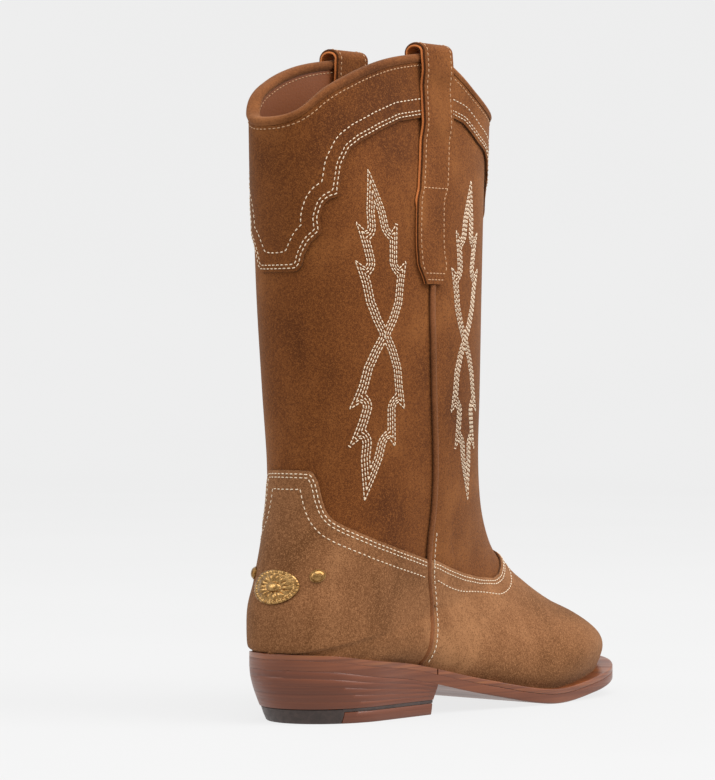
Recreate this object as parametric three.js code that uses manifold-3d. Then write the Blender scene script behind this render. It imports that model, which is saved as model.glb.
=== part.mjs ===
import * as THREE from 'three';
import { mergeVertices } from 'three/addons/utils/BufferGeometryUtils.js';
import Module from 'manifold-3d';

const wasm = await Module();
wasm.setup();

// A right western boot, in millimetres. +Z is up, +Y points to the toe and +X to the outer side.
// The origin is on the floor, under the middle of the heel.

// ---- Driving sizes ----
const BOOT_LENGTH = 258; // heel curve to toe tip, over the leather
const BALL_WIDTH = 92; // over the leather, at the ball of the foot
const COLLAR_CREST = 337; // floor to the highest point of the top line
const SHEET = 1.4; // upper leather
const LINING = 1.0;
const FIT = 0.3; // gap between pieces that touch
const FINE = 0.03; // overrun of a cutter past the face it opens

// ---- The form that the leather is pulled over ----
// It is drawn for these sizes and stretched to the driving ones.
const DRAWN_LENGTH = 258;
const DRAWN_WIDTH = 92;
const DRAWN_CREST = 337;
const ANKLE_HEIGHT = 128;

// Each station is a flat section, seen from the side as a line from its back or sole end to its
// front or instep end. Its numbers are: place, back y and z, front y and z, outer and inner half
// width, the share of the line where it is widest, the half width left at the sole end as a share
// of the widest, the exponents of its low and high arcs, and how far it leans sideways.
const STATIONS = [
  [-1, -43, 372, 127, 372, 28, 28, 0.5, 0, 2.8, 2.8, 0],
  [0, -41.5, 345, 126, 345, 30, 30, 0.5, 0, 2.7, 2.7, 0],
  [1, -39.5, 310, 125, 310, 33, 33, 0.5, 0, 2.6, 2.6, 0],
  [2, -35.5, 265, 119, 265, 40, 40, 0.5, 0, 2.35, 2.35, 0],
  [3, -31.5, 215, 115, 215, 44, 44, 0.5, 0, 2.2, 2.2, 0],
  [4, -27.5, 165, 114, 165, 43.5, 43.5, 0.5, 0, 2.15, 2.15, 0],
  [5, -25.5, 128, 117, 133, 41, 41, 0.47, 0, 2.1, 2.05, 0],
  [6, -26.5, 98, 123, 108, 38.5, 38.5, 0.42, 0, 2.15, 2, 0],
  [7, -33, 70, 133, 90, 36, 36, 0.36, 0, 2.3, 1.95, 0],
  [8, -37.4, 50, 143, 79, 35, 35, 0.32, 0, 2.5, 1.9, 0],
  [8.4, -36.8, 37, 147, 76, 35, 35, 0.31, 0, 2.5, 1.9, 0],
  [8.7, -34.8, 36.4, 149.5, 73.5, 35, 35, 0.3, 0.22, 2.5, 1.9, 0],
  [9.1, -29, 36.1, 153, 70.5, 35, 35, 0.3, 0.52, 2.5, 1.9, 0],
  [9.5, -18, 35.2, 157, 67.5, 35.5, 35.2, 0.3, 0.75, 2.5, 1.9, 0],
  [10, 0, 32.5, 162, 64.5, 36, 35.5, 0.3, 0.86, 2.5, 1.9, 0],
  [11, 40, 27.5, 173, 58, 37.5, 34.5, 0.3, 0.81, 2.5, 1.9, 0],
  [12, 90, 17, 184, 52, 42, 40.5, 0.3, 0.86, 2.5, 1.9, 0],
  [13, 140, 9, 194.5, 47.5, 46, 46, 0.3, 0.9, 2.5, 2, -1],
  [14, 177, 12, 205, 42.5, 41, 40, 0.3, 0.92, 2.5, 2.1, -3],
  [15, 201, 16.5, 214, 37.5, 30.5, 29, 0.32, 0.94, 2.5, 2.2, -5],
  [15.6, 213, 18.6, 219, 33.5, 19, 18, 0.35, 0.95, 2.5, 2.3, -6],
  [16, 219, 19.8, 221, 29.5, 8, 8, 0.4, 0.95, 2.5, 2.3, -6.5],
].map(([at, backY, backZ, frontY, frontZ, outer, inner, widest, floor, low, high, lean]) => ({
  at, back: [backY, backZ], front: [frontY, frontZ], outer, inner, widest, floor, low, high, lean,
}));
const SHAFT_END = 7; // the last station whose back end rises above the heel's curve
const SOLE_START = 8.4; // the station where the form first has a floor
const SECTION_STEPS = [
  -1, 1, 2, 3, 4, 5, 6, 6.5, 7, 7.5, 8, 8.4, 8.7, 9.1, 9.5, 10, 11, 11.5, 12,
  12.6, 13.2, 14, 15, 15.6, 16,
];
const LOW_STEPS = 4; // steps round each side of a section, on either side of its widest point
const HIGH_STEPS = 4;

// ---- Layers, as distances from the form, outward positive ----
const OVERLAY_OUT = 0.8;
const OVERLAY_IN = OVERLAY_OUT - SHEET;
const PANEL_OUT = OVERLAY_IN - FIT;
const PANEL_IN = PANEL_OUT - SHEET;
const LINING_OUT = PANEL_IN - 2 * FIT;
const LINING_IN = LINING_OUT - LINING;

// ---- Lines across the upper, seen from the side as [y, z] ----
const COLLAR_LINE = [
  [-60, 290], [-42, 299], [-36, 303], [-25, 313.5], [-8, 323], [12, 330.5], [36, 335.5],
  [52, DRAWN_CREST], [66, 334.5], [78, 329], [93, 320.5], [110, 313], [126, 309], [400, 300],
];
const SEAM_LINE = [
  [42, 0], [42, 20], [46.5, 39], [49.5, 54], [46.5, 75], [45.5, 90], [46, 105], [45.5, 120],
  [40.5, 161], [38.5, 192], [38, 212], [39.5, 228], [40.5, 245], [43.5, 265], [48.5, 285],
  [52, 300], [53.5, 315], [53.5, 400],
];
// The yokes' lower edges, as [distance forward or back from the centre line of the shaft's end, z].
const BACK_YOKE_EDGE = [
  [96, 307], [79, 304.8], [63, 302.3], [48, 297], [33, 290.5], [26, 286], [21, 278], [18, 266],
  [18.5, 263], [13.5, 261.4], [11, 259], [9, 252], [9.3, 245], [5.4, 239.7], [3.6, 233.5],
  [3, 228.6], [1.9, 225.5], [-20, 224.5],
];
const FRONT_YOKE_EDGE = [
  [80, 310], [56.6, 306.8], [45.7, 304.3], [30.5, 295.4], [20, 291], [15.6, 287], [12.5, 279],
  [12.8, 275], [9, 273.4], [7, 271], [6, 264], [6.3, 258], [3.8, 252], [2.4, 245], [1.6, 239], [-20, 238],
];
const COUNTER_EDGE = [
  [-21.7, 126], [-20, 120.3], [-18.9, 111.7], [-17.7, 105.8], [-15.5, 101.8], [-10.8, 98.4],
  [-3.9, 95.1], [6.7, 90.7], [20.7, 86.3], [44.4, 80.1], [60, 77.5],
];
const VAMP_EDGE = [
  [30, 83], [46, 80], [56, 78.3], [66, 75.2], [82, 71.2], [99, 68.3], [117, 66.7], [125.4, 68.4],
  [132.4, 72.1], [139, 77], [146, 88], [152, 130],
];
const UNDERLAP = 12; // the shaft's front panel runs on under the vamp
const TONGUE_END = [[137, 58], [150, 69], [161, 90]]; // where its tongue ends under the instep
const COUNTER_UNDERLAP = [[-80, 112], [-12, 88], [80, 72]]; // the back panel's end under the counter
const TOE_PUFF_START = 166;
const LINING_SEAM_RISE = 4; // lower lining seams lie this far above the counter's edge
const LASTING_MARGIN = 14; // leather turned in under the insole
const PIPING_HALF = 1.85;
const PIPING_PROUD = 0.5;
const PIPING_TOP = 219.4;

// ---- Collar binding ----
const BINDING_DROP = 4.5;
const BINDING_SKIN = 1.0;

// ---- Pull straps ----
const STRAP_HALF = 11.5;
const STRAP_TIP_HALF = 6.5;
const STRAP_BOTTOM = 220;
const STRAP_SHOULDER = 229; // where the strap reaches its full width
const STRAP_RISE = 3.3; // clear height of the loop over the binding
const STRAP_BACKING = 0.9;
const STRAP_SKIN = 1.2;
const STRAP_INNER_DROP = 40; // length of the strap's leg inside the shaft
const STRAP_ACROSS = 3; // steps across the strap
const STRAP_EASE = 0.1; // the flat strap's clearance over the curved panels
const STRAP_INNER_EASE = 0.4; // and inside them

// ---- Bottom, as heights from the feather line, the edge of the form's floor ----
const WELT_THICKNESS = 2.8;
const OUTSOLE_THICKNESS = 4.7;
const INSOLE_THICKNESS = 2.2;
const INSOLE_EASE = 4.4; // the walls lean outward, so the insole's edge keeps clear of them
const HEEL_PAD_THICKNESS = 1.5;
const WELT_TOP = -OVERLAY_OUT - FIT;
const WELT_BOTTOM = WELT_TOP - WELT_THICKNESS;
const OUTSOLE_TOP = WELT_BOTTOM - FIT;
const OUTSOLE_BOTTOM = OUTSOLE_TOP - OUTSOLE_THICKNESS;
const INSOLE_BOTTOM = -LINING_IN + FIT;
const INSOLE_TOP = INSOLE_BOTTOM + INSOLE_THICKNESS;
const TOE_EDGE = 12; // the sole's edge stands out past the feather line by this much
const FOREPART_EDGE = 6;
const WAIST_EDGE = 3.2;
const HEEL_SEAT_EDGE = 2.4;
const WELT_INNER = 8; // how far the welt and the rand reach in under the upper
const HEEL_BREAST = 54;
const SHEET_END_STEPS = [0, 1, 3.5, 8, 14]; // rows near a sheet's rounded ends
const SHANK_START = -12;
const SHANK_END = 88;
const SHANK_HALF = 8;
const SHANK_THICKNESS = 1.7;

// ---- Heel ----
const HEEL_BACK_TOP = -37.8;
const HEEL_BACK_BOTTOM = -27.5;
const HEEL_BREAST_BOTTOM = 53;
const HEEL_HALF_TOP = 33.2;
const HEEL_HALF_BOTTOM = 31;
const HEEL_ROUND = 40; // length of the rounded back of the heel
const HEEL_ROUND_POWER = 2;
const HEEL_LIFTS = 5;
const HEEL_STEPS = 14;
const TOP_LIFT = 7.5;
const TOP_LIFT_SKIN = 1.5; // rubber that runs forward over the leather insert
const RUBBER_FRONT = -11;
const NAIL_RADIUS = 1.1;
const NAIL_SIDES = 8;
const NAIL_LENGTH = 13;
const NAILS = [[-19, -2], [-13, -15], [0, -20], [13, -15], [19, -2]];

// ---- Heel ornament ----
const ORNAMENT_HEIGHT = 68;
const HEEL_CURVE = 36; // radius of the heel in plan at the ornament
const STUD_RISE = 6; // the studs sit higher than the concho
const RIVET_IN = -12; // how far a rivet's rod starts inside the heel's curve and ends outside it
const RIVET_OUT = 12;
const HOLE_IN = -9;
const HOLE_OUT = 5;
const HEAD_IN = -6;
const HEAD_OUT = 10;
const CONCHO_HALF_WIDTH = 14;
const CONCHO_HALF_HEIGHT = 8.5;
const CONCHO_SKIN = 1.2;
const CONCHO_BOSS = 1.2;
const BOSS_SHARE = 0.55; // the boss's size as a share of the concho's
const STUD_RADIUS = 3.2;
const STUD_ANGLE = 34; // degrees round from the centre of the back
const PIN_RADIUS = 1.1;
const WASHER_RADIUS = 3.2;
const WASHER_THICKNESS = 0.8;

// ---- Materials ----
const SUEDE = { color: '#86583a', roughness: 0.95, metalness: 0 };
const SUEDE_DARK = { color: '#74482d', roughness: 0.95, metalness: 0 };
const CALF = { color: '#6d4630', roughness: 0.55, metalness: 0 };
const RAW_EDGE = { color: '#b4703d', roughness: 0.8, metalness: 0 };
const LINING_LEATHER = { color: '#7a5238', roughness: 0.6, metalness: 0 };
const SOLE_LEATHER = { color: '#7c4a34', roughness: 0.35, metalness: 0 };
const STACK_LEATHER = { color: '#6d3f2e', roughness: 0.3, metalness: 0 };
const BOARD = { color: '#b09470', roughness: 0.9, metalness: 0 };
const CORK = { color: '#a87f55', roughness: 0.95, metalness: 0 };
const STEEL = { color: '#8d9094', roughness: 0.4, metalness: 1 };
const RUBBER = { color: '#2f2724', roughness: 0.7, metalness: 0 };
const BRASS = { color: '#c9a35a', roughness: 0.35, metalness: 1 };

const boot = new THREE.Group();

function addPiece(name, solid, look) {
  const mesh = solid.getMesh();
  const geometry = new THREE.BufferGeometry();
  geometry.setAttribute('position', new THREE.BufferAttribute(new Float32Array(mesh.vertProperties), 3));
  geometry.setIndex(new THREE.BufferAttribute(new Uint32Array(mesh.triVerts), 1));
  geometry.computeVertexNormals();
  const piece = new THREE.Mesh(geometry, new THREE.MeshStandardMaterial(look));
  piece.name = name;
  boot.add(piece);
}

// ---- Closed bodies from three.js geometry ----
function weld(geometry) {
  geometry.deleteAttribute('normal');
  geometry.deleteAttribute('uv');
  return mergeVertices(geometry, 1e-4);
}

function toSolid(geometry) {
  const welded = weld(geometry);
  const corners = Array.from(welded.index.array);
  const kept = [];
  for (let i = 0; i < corners.length; i += 3) {
    const [a, b, c] = corners.slice(i, i + 3);
    if (a !== b && b !== c && c !== a) kept.push(a, b, c);
  }
  const vertProperties = new Float32Array(welded.attributes.position.array);
  const triVerts = new Uint32Array(kept);
  const volume = signedVolume(vertProperties, triVerts);
  if (volume < 0) triVerts.reverse();
  return new wasm.Manifold(new wasm.Mesh({ numProp: 3, vertProperties, triVerts }));
}

function signedVolume(points, corners) {
  const a = new THREE.Vector3();
  const b = new THREE.Vector3();
  const c = new THREE.Vector3();
  let sum = 0;
  for (let i = 0; i < corners.length; i += 3) {
    a.fromArray(points, 3 * corners[i]);
    b.fromArray(points, 3 * corners[i + 1]);
    c.fromArray(points, 3 * corners[i + 2]);
    sum += a.dot(b.cross(c));
  }
  return sum;
}

// A closed body through rings of equal length: a cylinder whose vertices move to the rings' points.
function loftGeometry(rings) {
  const rows = rings.length - 1;
  const sides = rings[0].length;
  const geometry = new THREE.CylinderGeometry(1, 1, rows, sides, rows);
  const place = geometry.attributes.position;
  const middles = rings.map(middle);
  for (let i = 0; i < place.count; i += 1) {
    const row = Math.round(rows / 2 - place.getY(i));
    const onAxis = Math.hypot(place.getX(i), place.getZ(i)) < 0.5;
    const turn = Math.atan2(place.getX(i), place.getZ(i)) / (2 * Math.PI);
    const index = (Math.round(turn * sides) + sides) % sides;
    const point = onAxis ? middles[row] : rings[row][index];
    place.setXYZ(i, ...point);
  }
  return geometry;
}

function middle(ring) {
  const sum = ring.reduce((total, point) => total.map((value, k) => value + point[k]), [0, 0, 0]);
  return sum.map((value) => value / ring.length);
}

function loft(rings) {
  return toSolid(loftGeometry(rings));
}

// A block between two X faces, with a side view outline given as [y, z] points.
const BLOCK_HALF = 120;
function sideBlock(outline, fromX = -BLOCK_HALF, toX = BLOCK_HALF) {
  const shape = new THREE.Shape(outline.map(([y, z]) => new THREE.Vector2(y, z)));
  const geometry = new THREE.ExtrudeGeometry(shape, { depth: toX - fromX, bevelEnabled: false });
  const toWorld = new THREE.Matrix4().makeBasis(
    new THREE.Vector3(0, 1, 0), new THREE.Vector3(0, 0, 1), new THREE.Vector3(1, 0, 0),
  );
  geometry.applyMatrix4(toWorld.setPosition(fromX, 0, 0));
  return toSolid(geometry);
}

function rod(start, direction, length, radius, sides) {
  const geometry = new THREE.CylinderGeometry(radius, radius, length, sides);
  geometry.translate(0, length / 2, 0);
  const turn = new THREE.Quaternion();
  turn.setFromUnitVectors(new THREE.Vector3(0, 1, 0), direction);
  geometry.applyQuaternion(turn);
  geometry.translate(...start);
  return toSolid(geometry);
}

// ---- The form ----
function along(y) {
  return (y * BOOT_LENGTH) / DRAWN_LENGTH;
}

function across(x) {
  return (x * BALL_WIDTH) / DRAWN_WIDTH;
}

function up(z) {
  const rise = (COLLAR_CREST - ANKLE_HEIGHT) / (DRAWN_CREST - ANKLE_HEIGHT);
  return z < ANKLE_HEIGHT ? z : ANKLE_HEIGHT + (z - ANKLE_HEIGHT) * rise;
}

function toSize(line) {
  return line.map(([y, z]) => [along(y), up(z)]);
}

// A smooth curve through values at given places, its slopes weighted by the spans beside them.
function smooth(places, values, x) {
  const last = places.length - 1;
  let i = 0;
  while (i < last - 1 && x >= places[i + 1]) i += 1;
  const span = (k) => places[k + 1] - places[k];
  const rise = (k) => (values[k + 1] - values[k]) / span(k);
  const slope = (k) => {
    if (k === 0) return rise(0);
    if (k === last) return rise(last - 1);
    return (rise(k - 1) * span(k) + rise(k) * span(k - 1)) / (span(k - 1) + span(k));
  };
  const u = (x - places[i]) / span(i);
  const u2 = u * u;
  const u3 = u2 * u;
  return (2 * u3 - 3 * u2 + 1) * values[i] + (u3 - 2 * u2 + u) * span(i) * slope(i)
    + (3 * u2 - 2 * u3) * values[i + 1] + (u3 - u2) * span(i) * slope(i + 1);
}

const stationPlaces = STATIONS.map((station) => station.at);
function station(s) {
  const read = (pick) => smooth(stationPlaces, STATIONS.map(pick), s);
  return {
    back: [along(read((row) => row.back[0])), up(read((row) => row.back[1]))],
    front: [along(read((row) => row.front[0])), up(read((row) => row.front[1]))],
    outer: across(read((row) => row.outer)),
    inner: across(read((row) => row.inner)),
    widest: read((row) => row.widest),
    floor: s <= SOLE_START ? 0 : THREE.MathUtils.clamp(read((row) => row.floor), 0, 0.98),
    low: read((row) => row.low),
    high: read((row) => row.high),
    lean: across(read((row) => row.lean)),
  };
}

// Share of the full half width at a share v of the section's line.
function fullness(section, v) {
  const { widest, floor, low, high } = section;
  if (v >= widest) return (1 - ((v - widest) / (1 - widest)) ** high) ** (1 / high);
  const reach = widest / (1 - floor ** low) ** (1 / low);
  return (1 - ((widest - v) / reach) ** low) ** (1 / low);
}

function sectionPoint(section, v, side) {
  const half = side > 0 ? section.outer : section.inner;
  const [y0, z0] = section.back;
  const [y1, z1] = section.front;
  return [side * half * fullness(section, v) + section.lean, y0 + v * (y1 - y0), z0 + v * (z1 - z0)];
}

// Shares along a section's line, spaced by equal turns of the superellipse's angle.
function sectionShares({ widest, floor, low, high }) {
  const reach = widest / (1 - floor ** low) ** (1 / low);
  const start = Math.asin(floor ** (low / 2));
  const shares = [];
  for (let k = 0; k < LOW_STEPS; k += 1) {
    const turn = start + ((Math.PI / 2 - start) * k) / LOW_STEPS;
    shares.push(k === 0 ? 0 : widest - reach * Math.cos(turn) ** (2 / low));
  }
  for (let k = 0; k <= HIGH_STEPS; k += 1) {
    const turn = (Math.PI / 2) * (1 - k / HIGH_STEPS);
    shares.push(k === HIGH_STEPS ? 1 : widest + (1 - widest) * Math.max(Math.cos(turn), 0) ** (2 / high));
  }
  return shares;
}

function sectionRing(s) {
  const section = station(s);
  const shares = sectionShares(section);
  const outer = shares.map((v) => sectionPoint(section, v, 1));
  const inner = shares.slice(0, -1).reverse().map((v) => sectionPoint(section, v, -1));
  return [...outer, ...inner];
}

const formGeometry = weld(loftGeometry(SECTION_STEPS.map(sectionRing)));
const formMoves = offsetMoves(formGeometry);

// For each vertex, the move that carries every face beside it outward by one.
function offsetMoves(geometry) {
  const points = geometry.attributes.position;
  const corners = geometry.index.array;
  const sums = Array.from({ length: points.count }, () => ({
    grid: new Float64Array(6),
    push: new Float64Array(3),
  }));
  const [a, b, c] = [new THREE.Vector3(), new THREE.Vector3(), new THREE.Vector3()];
  let volume = 0;
  const faces = [];
  for (let i = 0; i < corners.length; i += 3) {
    const face = [corners[i], corners[i + 1], corners[i + 2]];
    [a, b, c].forEach((corner, k) => corner.fromBufferAttribute(points, face[k]));
    volume += a.dot(b.clone().cross(c));
    const normal = b.clone().sub(a).cross(c.clone().sub(a));
    if (normal.length() > 1e-6) faces.push({ face, normal: normal.normalize() });
  }
  const sign = Math.sign(volume);
  for (const { face, normal } of faces) {
    const [x, y, z] = normal.multiplyScalar(sign).toArray();
    for (const corner of face) {
      [x * x, y * y, z * z, x * y, x * z, y * z].forEach((value, k) => { sums[corner].grid[k] += value; });
      [x, y, z].forEach((value, k) => { sums[corner].push[k] += value; });
    }
  }
  return sums.map(({ grid, push }) => {
    const soft = 0.01 * (grid[0] + grid[1] + grid[2]);
    const matrix = new THREE.Matrix3().set(
      grid[0] + soft, grid[3], grid[4], grid[3], grid[1] + soft, grid[5], grid[4], grid[5], grid[2] + soft,
    );
    const move = new THREE.Vector3(...push).applyMatrix3(matrix.invert());
    return move.multiplyScalar(1 + soft / (grid[0] + grid[1] + grid[2]));
  });
}

const formSolids = new Map();
function formAt(distance) {
  if (!formSolids.has(distance)) {
    const geometry = formGeometry.clone();
    const points = geometry.attributes.position;
    formMoves.forEach((move, i) => {
      points.setXYZ(
        i,
        points.getX(i) + distance * move.x,
        points.getY(i) + distance * move.y,
        points.getZ(i) + distance * move.z,
      );
    });
    formSolids.set(distance, toSolid(geometry));
  }
  return formSolids.get(distance);
}

function layer(inside, outside) {
  return formAt(outside).subtract(formAt(inside));
}

// The form's surface at a point of the side view: the section through it is found by halving.
function surfaceX(y, z, side) {
  let low = stationPlaces[0];
  let high = stationPlaces[stationPlaces.length - 1];
  for (let k = 0; k < 40; k += 1) {
    const s = (low + high) / 2;
    const { back, front } = station(s);
    const above = (front[0] - back[0]) * (z - back[1]) - (front[1] - back[1]) * (y - back[0]);
    if (above > 0) high = s; else low = s;
  }
  const section = station((low + high) / 2);
  const v = (y - section.back[0]) / (section.front[0] - section.back[0]);
  return sectionPoint(section, THREE.MathUtils.clamp(v, 0, 1), side)[0];
}

// ---- The feather line, where the form's floor meets its walls ----
const FEATHER_STEPS = 160;
const feather = [];
for (let k = 0; k <= FEATHER_STEPS; k += 1) {
  const section = station(SOLE_START + ((16 - SOLE_START) * k) / FEATHER_STEPS);
  feather.push({
    y: section.back[0],
    z: section.back[1],
    outer: section.outer * section.floor + section.lean,
    inner: section.inner * section.floor - section.lean,
  });
}
const FEATHER_BACK = feather[0].y;
const FEATHER_TOE = feather[FEATHER_STEPS].y;

// The floor's rows: every sheet under the foot bends at them, as the form does.
const floorRows = SECTION_STEPS.filter((at) => at >= SOLE_START).map((at) => station(at).back);
function featherHeight(y) {
  const next = THREE.MathUtils.clamp(floorRows.findIndex((row) => row[0] > y), 0, floorRows.length);
  if (y <= floorRows[0][0]) return floorRows[0][1];
  if (next === 0) return floorRows[floorRows.length - 1][1];
  const [a, b] = [floorRows[next - 1], floorRows[next]];
  return a[1] + ((b[1] - a[1]) * (y - a[0])) / (b[0] - a[0]);
}

// Half width of the feather outline grown by a distance, as the edge of the discs set along it.
function planHalf(y, grow, side) {
  const reach = Math.abs(grow);
  let half = grow < 0 ? Infinity : -Infinity;
  for (const point of feather) {
    const off = Math.abs(y - point.y);
    if (off > reach) continue;
    const disc = Math.sqrt(reach * reach - off * off);
    const x = point[side];
    half = grow < 0 ? Math.min(half, x - disc) : Math.max(half, x + disc);
  }
  return half;
}

function spread(from, to, steps) {
  return Array.from({ length: steps + 1 }, (_, k) => {
    const share = (1 - Math.cos((Math.PI * k) / steps)) / 2;
    return from + (to - from) * share;
  });
}

function sheetRows(from, to) {
  const clear = SHEET_END_STEPS[SHEET_END_STEPS.length - 1];
  const between = floorRows.map((row) => row[0]).filter((y) => y > from + clear && y < to - clear);
  const start = SHEET_END_STEPS.map((step) => from + step);
  const end = SHEET_END_STEPS.map((step) => to - step).reverse();
  return [...start, ...between, ...end];
}

// A sheet under the foot, between two heights from the feather line, with its outline grown.
const TIP = 0.15; // a sheet's rounded end stops this far before its last point
function soleSheet({ from, to, grow, bottom, top }) {
  const growAt = typeof grow === 'function' ? grow : () => grow;
  const rings = sheetRows(from, to).map((y) => {
    const outer = planHalf(y, growAt(y), 'outer');
    const inner = planHalf(y, growAt(y), 'inner');
    const z = featherHeight(y);
    return [[outer, y, z + bottom], [outer, y, z + top], [-inner, y, z + top], [-inner, y, z + bottom]];
  });
  return loft(rings);
}

// ---- Upper ----
function above(line, top = 500) {
  return [...line, [line[line.length - 1][0], top], [line[0][0], top]];
}

function below(line, bottom = -60) {
  return [...line, [line[line.length - 1][0], bottom], [line[0][0], bottom]];
}

function shift(line, dy, dz) {
  return line.map(([y, z]) => [y + dy, z + dz]);
}

const collarLine = toSize(COLLAR_LINE);
const seamLine = toSize(SEAM_LINE);
const counterEdge = toSize(COUNTER_EDGE);
const vampEdge = toSize(VAMP_EDGE);
const FAR = 400;

function behindSeam(gap) {
  return sideBlock([...shift(seamLine, -gap, 0), [-FAR, 400], [-FAR, -60], [seamLine[0][0] - gap, -60]]);
}

function aheadOfSeam(gap) {
  return sideBlock([...shift(seamLine, gap, 0), [FAR, 400], [FAR, -60], [seamLine[0][0] + gap, -60]]);
}

// The window cut in the leather under the foot, inside the lasting margin.
const lastingWindow = soleSheet({
  from: FEATHER_BACK + LASTING_MARGIN + TIP,
  to: FEATHER_TOE - LASTING_MARGIN - TIP,
  grow: -LASTING_MARGIN,
  bottom: -12,
  top: 9,
});
const underCollar = sideBlock(below(collarLine));

function skin(inside, outside) {
  return layer(inside, outside).subtract(lastingWindow).intersect(underCollar);
}

const overlay = skin(OVERLAY_IN, OVERLAY_OUT);
const panel = skin(PANEL_IN, PANEL_OUT);
const lining = skin(LINING_IN, LINING_OUT);

const PIPING_ROOM = PIPING_HALF + FIT;
const counterRegion = [
  [-80, counterEdge[0][1]],
  ...counterEdge,
  [80, counterEdge[counterEdge.length - 1][1]],
  [80, -60],
  [-80, -60],
];
const counterBlock = sideBlock(counterRegion).intersect(behindSeam(PIPING_ROOM));
const vampBlock = sideBlock([...vampEdge, [FAR, 130], [FAR, -60], [vampEdge[0][0], -60]])
  .intersect(aheadOfSeam(PIPING_ROOM));

// Under the overlays the shaft's panels end on lines one underlap below the overlays' edges.
const backUnderlap = COUNTER_UNDERLAP.map(([y, z]) => [along(y), up(z)]);
const frontUnderlap = [
  [0, 70],
  ...shift(vampEdge.slice(1, 7), 0, -UNDERLAP),
  ...TONGUE_END.map(([y, z]) => [along(y), z]),
];
const backLow = sideBlock([...shift(backUnderlap, 0, -FIT), [80, -60], [-80, -60]]);
const backHigh = sideBlock([...backUnderlap, [80, 500], [-80, 500]]);
const frontLow = sideBlock([...shift(frontUnderlap, FIT, -FIT), [FAR, 90], [FAR, -60], [0, -60]]);
const frontHigh = sideBlock([...frontUnderlap, [along(161), 500], [0, 500]]);
const toeStart = along(TOE_PUFF_START);
const beforeToe = sideBlock([[-FAR, -60], [toeStart - FIT, -60], [toeStart - FIT, 500], [-FAR, 500]]);
const toeEnd = sideBlock([[toeStart, -60], [FAR, -60], [FAR, 500], [toeStart, 500]]);

function yokeOutline(edge, ends, sign) {
  const low = edge.map(([inward, z]) => [ends(up(z)) + sign * inward, up(z)]);
  return above(low);
}

// The two ends of the shaft's sections, as curves of their y by height.
const shaftStations = STATIONS.filter((row) => row.at <= SHAFT_END);
function shaftCurve(end, z) {
  const heights = shaftStations.map((row) => -up(row[end][1]));
  const places = shaftStations.map((row) => along(row[end][0]));
  return smooth(heights, places, -z);
}

function shaftBack(z) {
  return shaftCurve('back', z);
}

function shaftFront(z) {
  return shaftCurve('front', z);
}

// Rivets of the heel ornament: where each one's axis meets the back of the heel.
const ornamentSection = (() => {
  const y = shaftBack(ORNAMENT_HEIGHT);
  return { y, middleY: y + across(HEEL_CURVE) };
})();
const ornamentRivets = [
  { name: 'concho', angle: 0 },
  { name: 'stud_outer', angle: STUD_ANGLE },
  { name: 'stud_inner', angle: -STUD_ANGLE },
];

function rivetRod(angle, fromDistance, toDistance, radius, sides) {
  const turn = THREE.MathUtils.degToRad(angle);
  const direction = new THREE.Vector3(Math.sin(turn), -Math.cos(turn), 0);
  const heelRadius = across(HEEL_CURVE);
  const start = [
    direction.x * (heelRadius + fromDistance),
    ornamentSection.middleY + direction.y * (heelRadius + fromDistance),
    ORNAMENT_HEIGHT + ornamentRise(angle),
  ];
  return rod(start, direction, toDistance - fromDistance, radius, sides);
}

function ornamentRise(angle) {
  return (Math.abs(angle) / STUD_ANGLE) * STUD_RISE;
}

const RIVET_SIDES = 12;
const rivetHoles = ornamentRivets.map(({ angle }) => (
  rivetRod(angle, HOLE_IN, HOLE_OUT, PIN_RADIUS + FIT, RIVET_SIDES)
));

function drilled(solid) {
  return rivetHoles.reduce((left, hole) => left.subtract(hole), solid);
}

function buildUpper() {
  addPiece('shaft_front_panel', panel.intersect(frontHigh).intersect(aheadOfSeam(FIT / 2)), SUEDE);
  addPiece('shaft_back_panel', panel.intersect(backHigh).intersect(behindSeam(FIT / 2)), SUEDE);
  addPiece('heel_counter', drilled(panel.intersect(backLow).intersect(behindSeam(FIT / 2))), BOARD);
  const forepart = panel.intersect(frontLow).intersect(aheadOfSeam(FIT / 2));
  addPiece('vamp_interlining', forepart.intersect(beforeToe), BOARD);
  addPiece('toe_puff', forepart.intersect(toeEnd), BOARD);
  addPiece('vamp', overlay.intersect(vampBlock), SUEDE);
  addPiece('counter_cover', drilled(overlay.intersect(counterBlock)), SUEDE);
  const backYoke = sideBlock(yokeOutline(BACK_YOKE_EDGE, shaftBack, 1));
  addPiece('yoke_back', overlay.intersect(backYoke).intersect(behindSeam(FIT / 2)), SUEDE_DARK);
  const frontYoke = sideBlock(yokeOutline(FRONT_YOKE_EDGE, shaftFront, -1));
  addPiece('yoke_front', overlay.intersect(frontYoke).intersect(aheadOfSeam(FIT / 2)), SUEDE_DARK);
}

function buildLinings() {
  const seam = shift(counterEdge.slice(6), 0, LINING_SEAM_RISE);
  const heelTop = [[-80, 100], ...seam, [100, 78]];
  const heelLow = sideBlock([...shift(heelTop, 0, -FIT), [100, -60], [-80, -60]]);
  const heelHigh = sideBlock([...heelTop, [100, 500], [-80, 500]]);
  addPiece('lining_back', lining.intersect(heelHigh).intersect(behindSeam(FIT / 2)), LINING_LEATHER);
  const heelPart = lining.intersect(heelLow).intersect(behindSeam(FIT / 2));
  addPiece('heel_lining', drilled(heelPart), LINING_LEATHER);
  const throat = [[0, 84], [46, 84], [100, 78], [130, 84], [150, 104]].map(([y, z]) => [along(y), z]);
  const high = sideBlock([...throat, [along(150), 500], [0, 500]]);
  const low = sideBlock([...shift(throat, FIT, -FIT), [FAR, 104], [FAR, -60], [0, -60]]);
  addPiece('lining_front', lining.intersect(high).intersect(aheadOfSeam(FIT / 2)), LINING_LEATHER);
  addPiece('vamp_lining', lining.intersect(low).intersect(aheadOfSeam(FIT / 2)), LINING_LEATHER);
}

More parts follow.
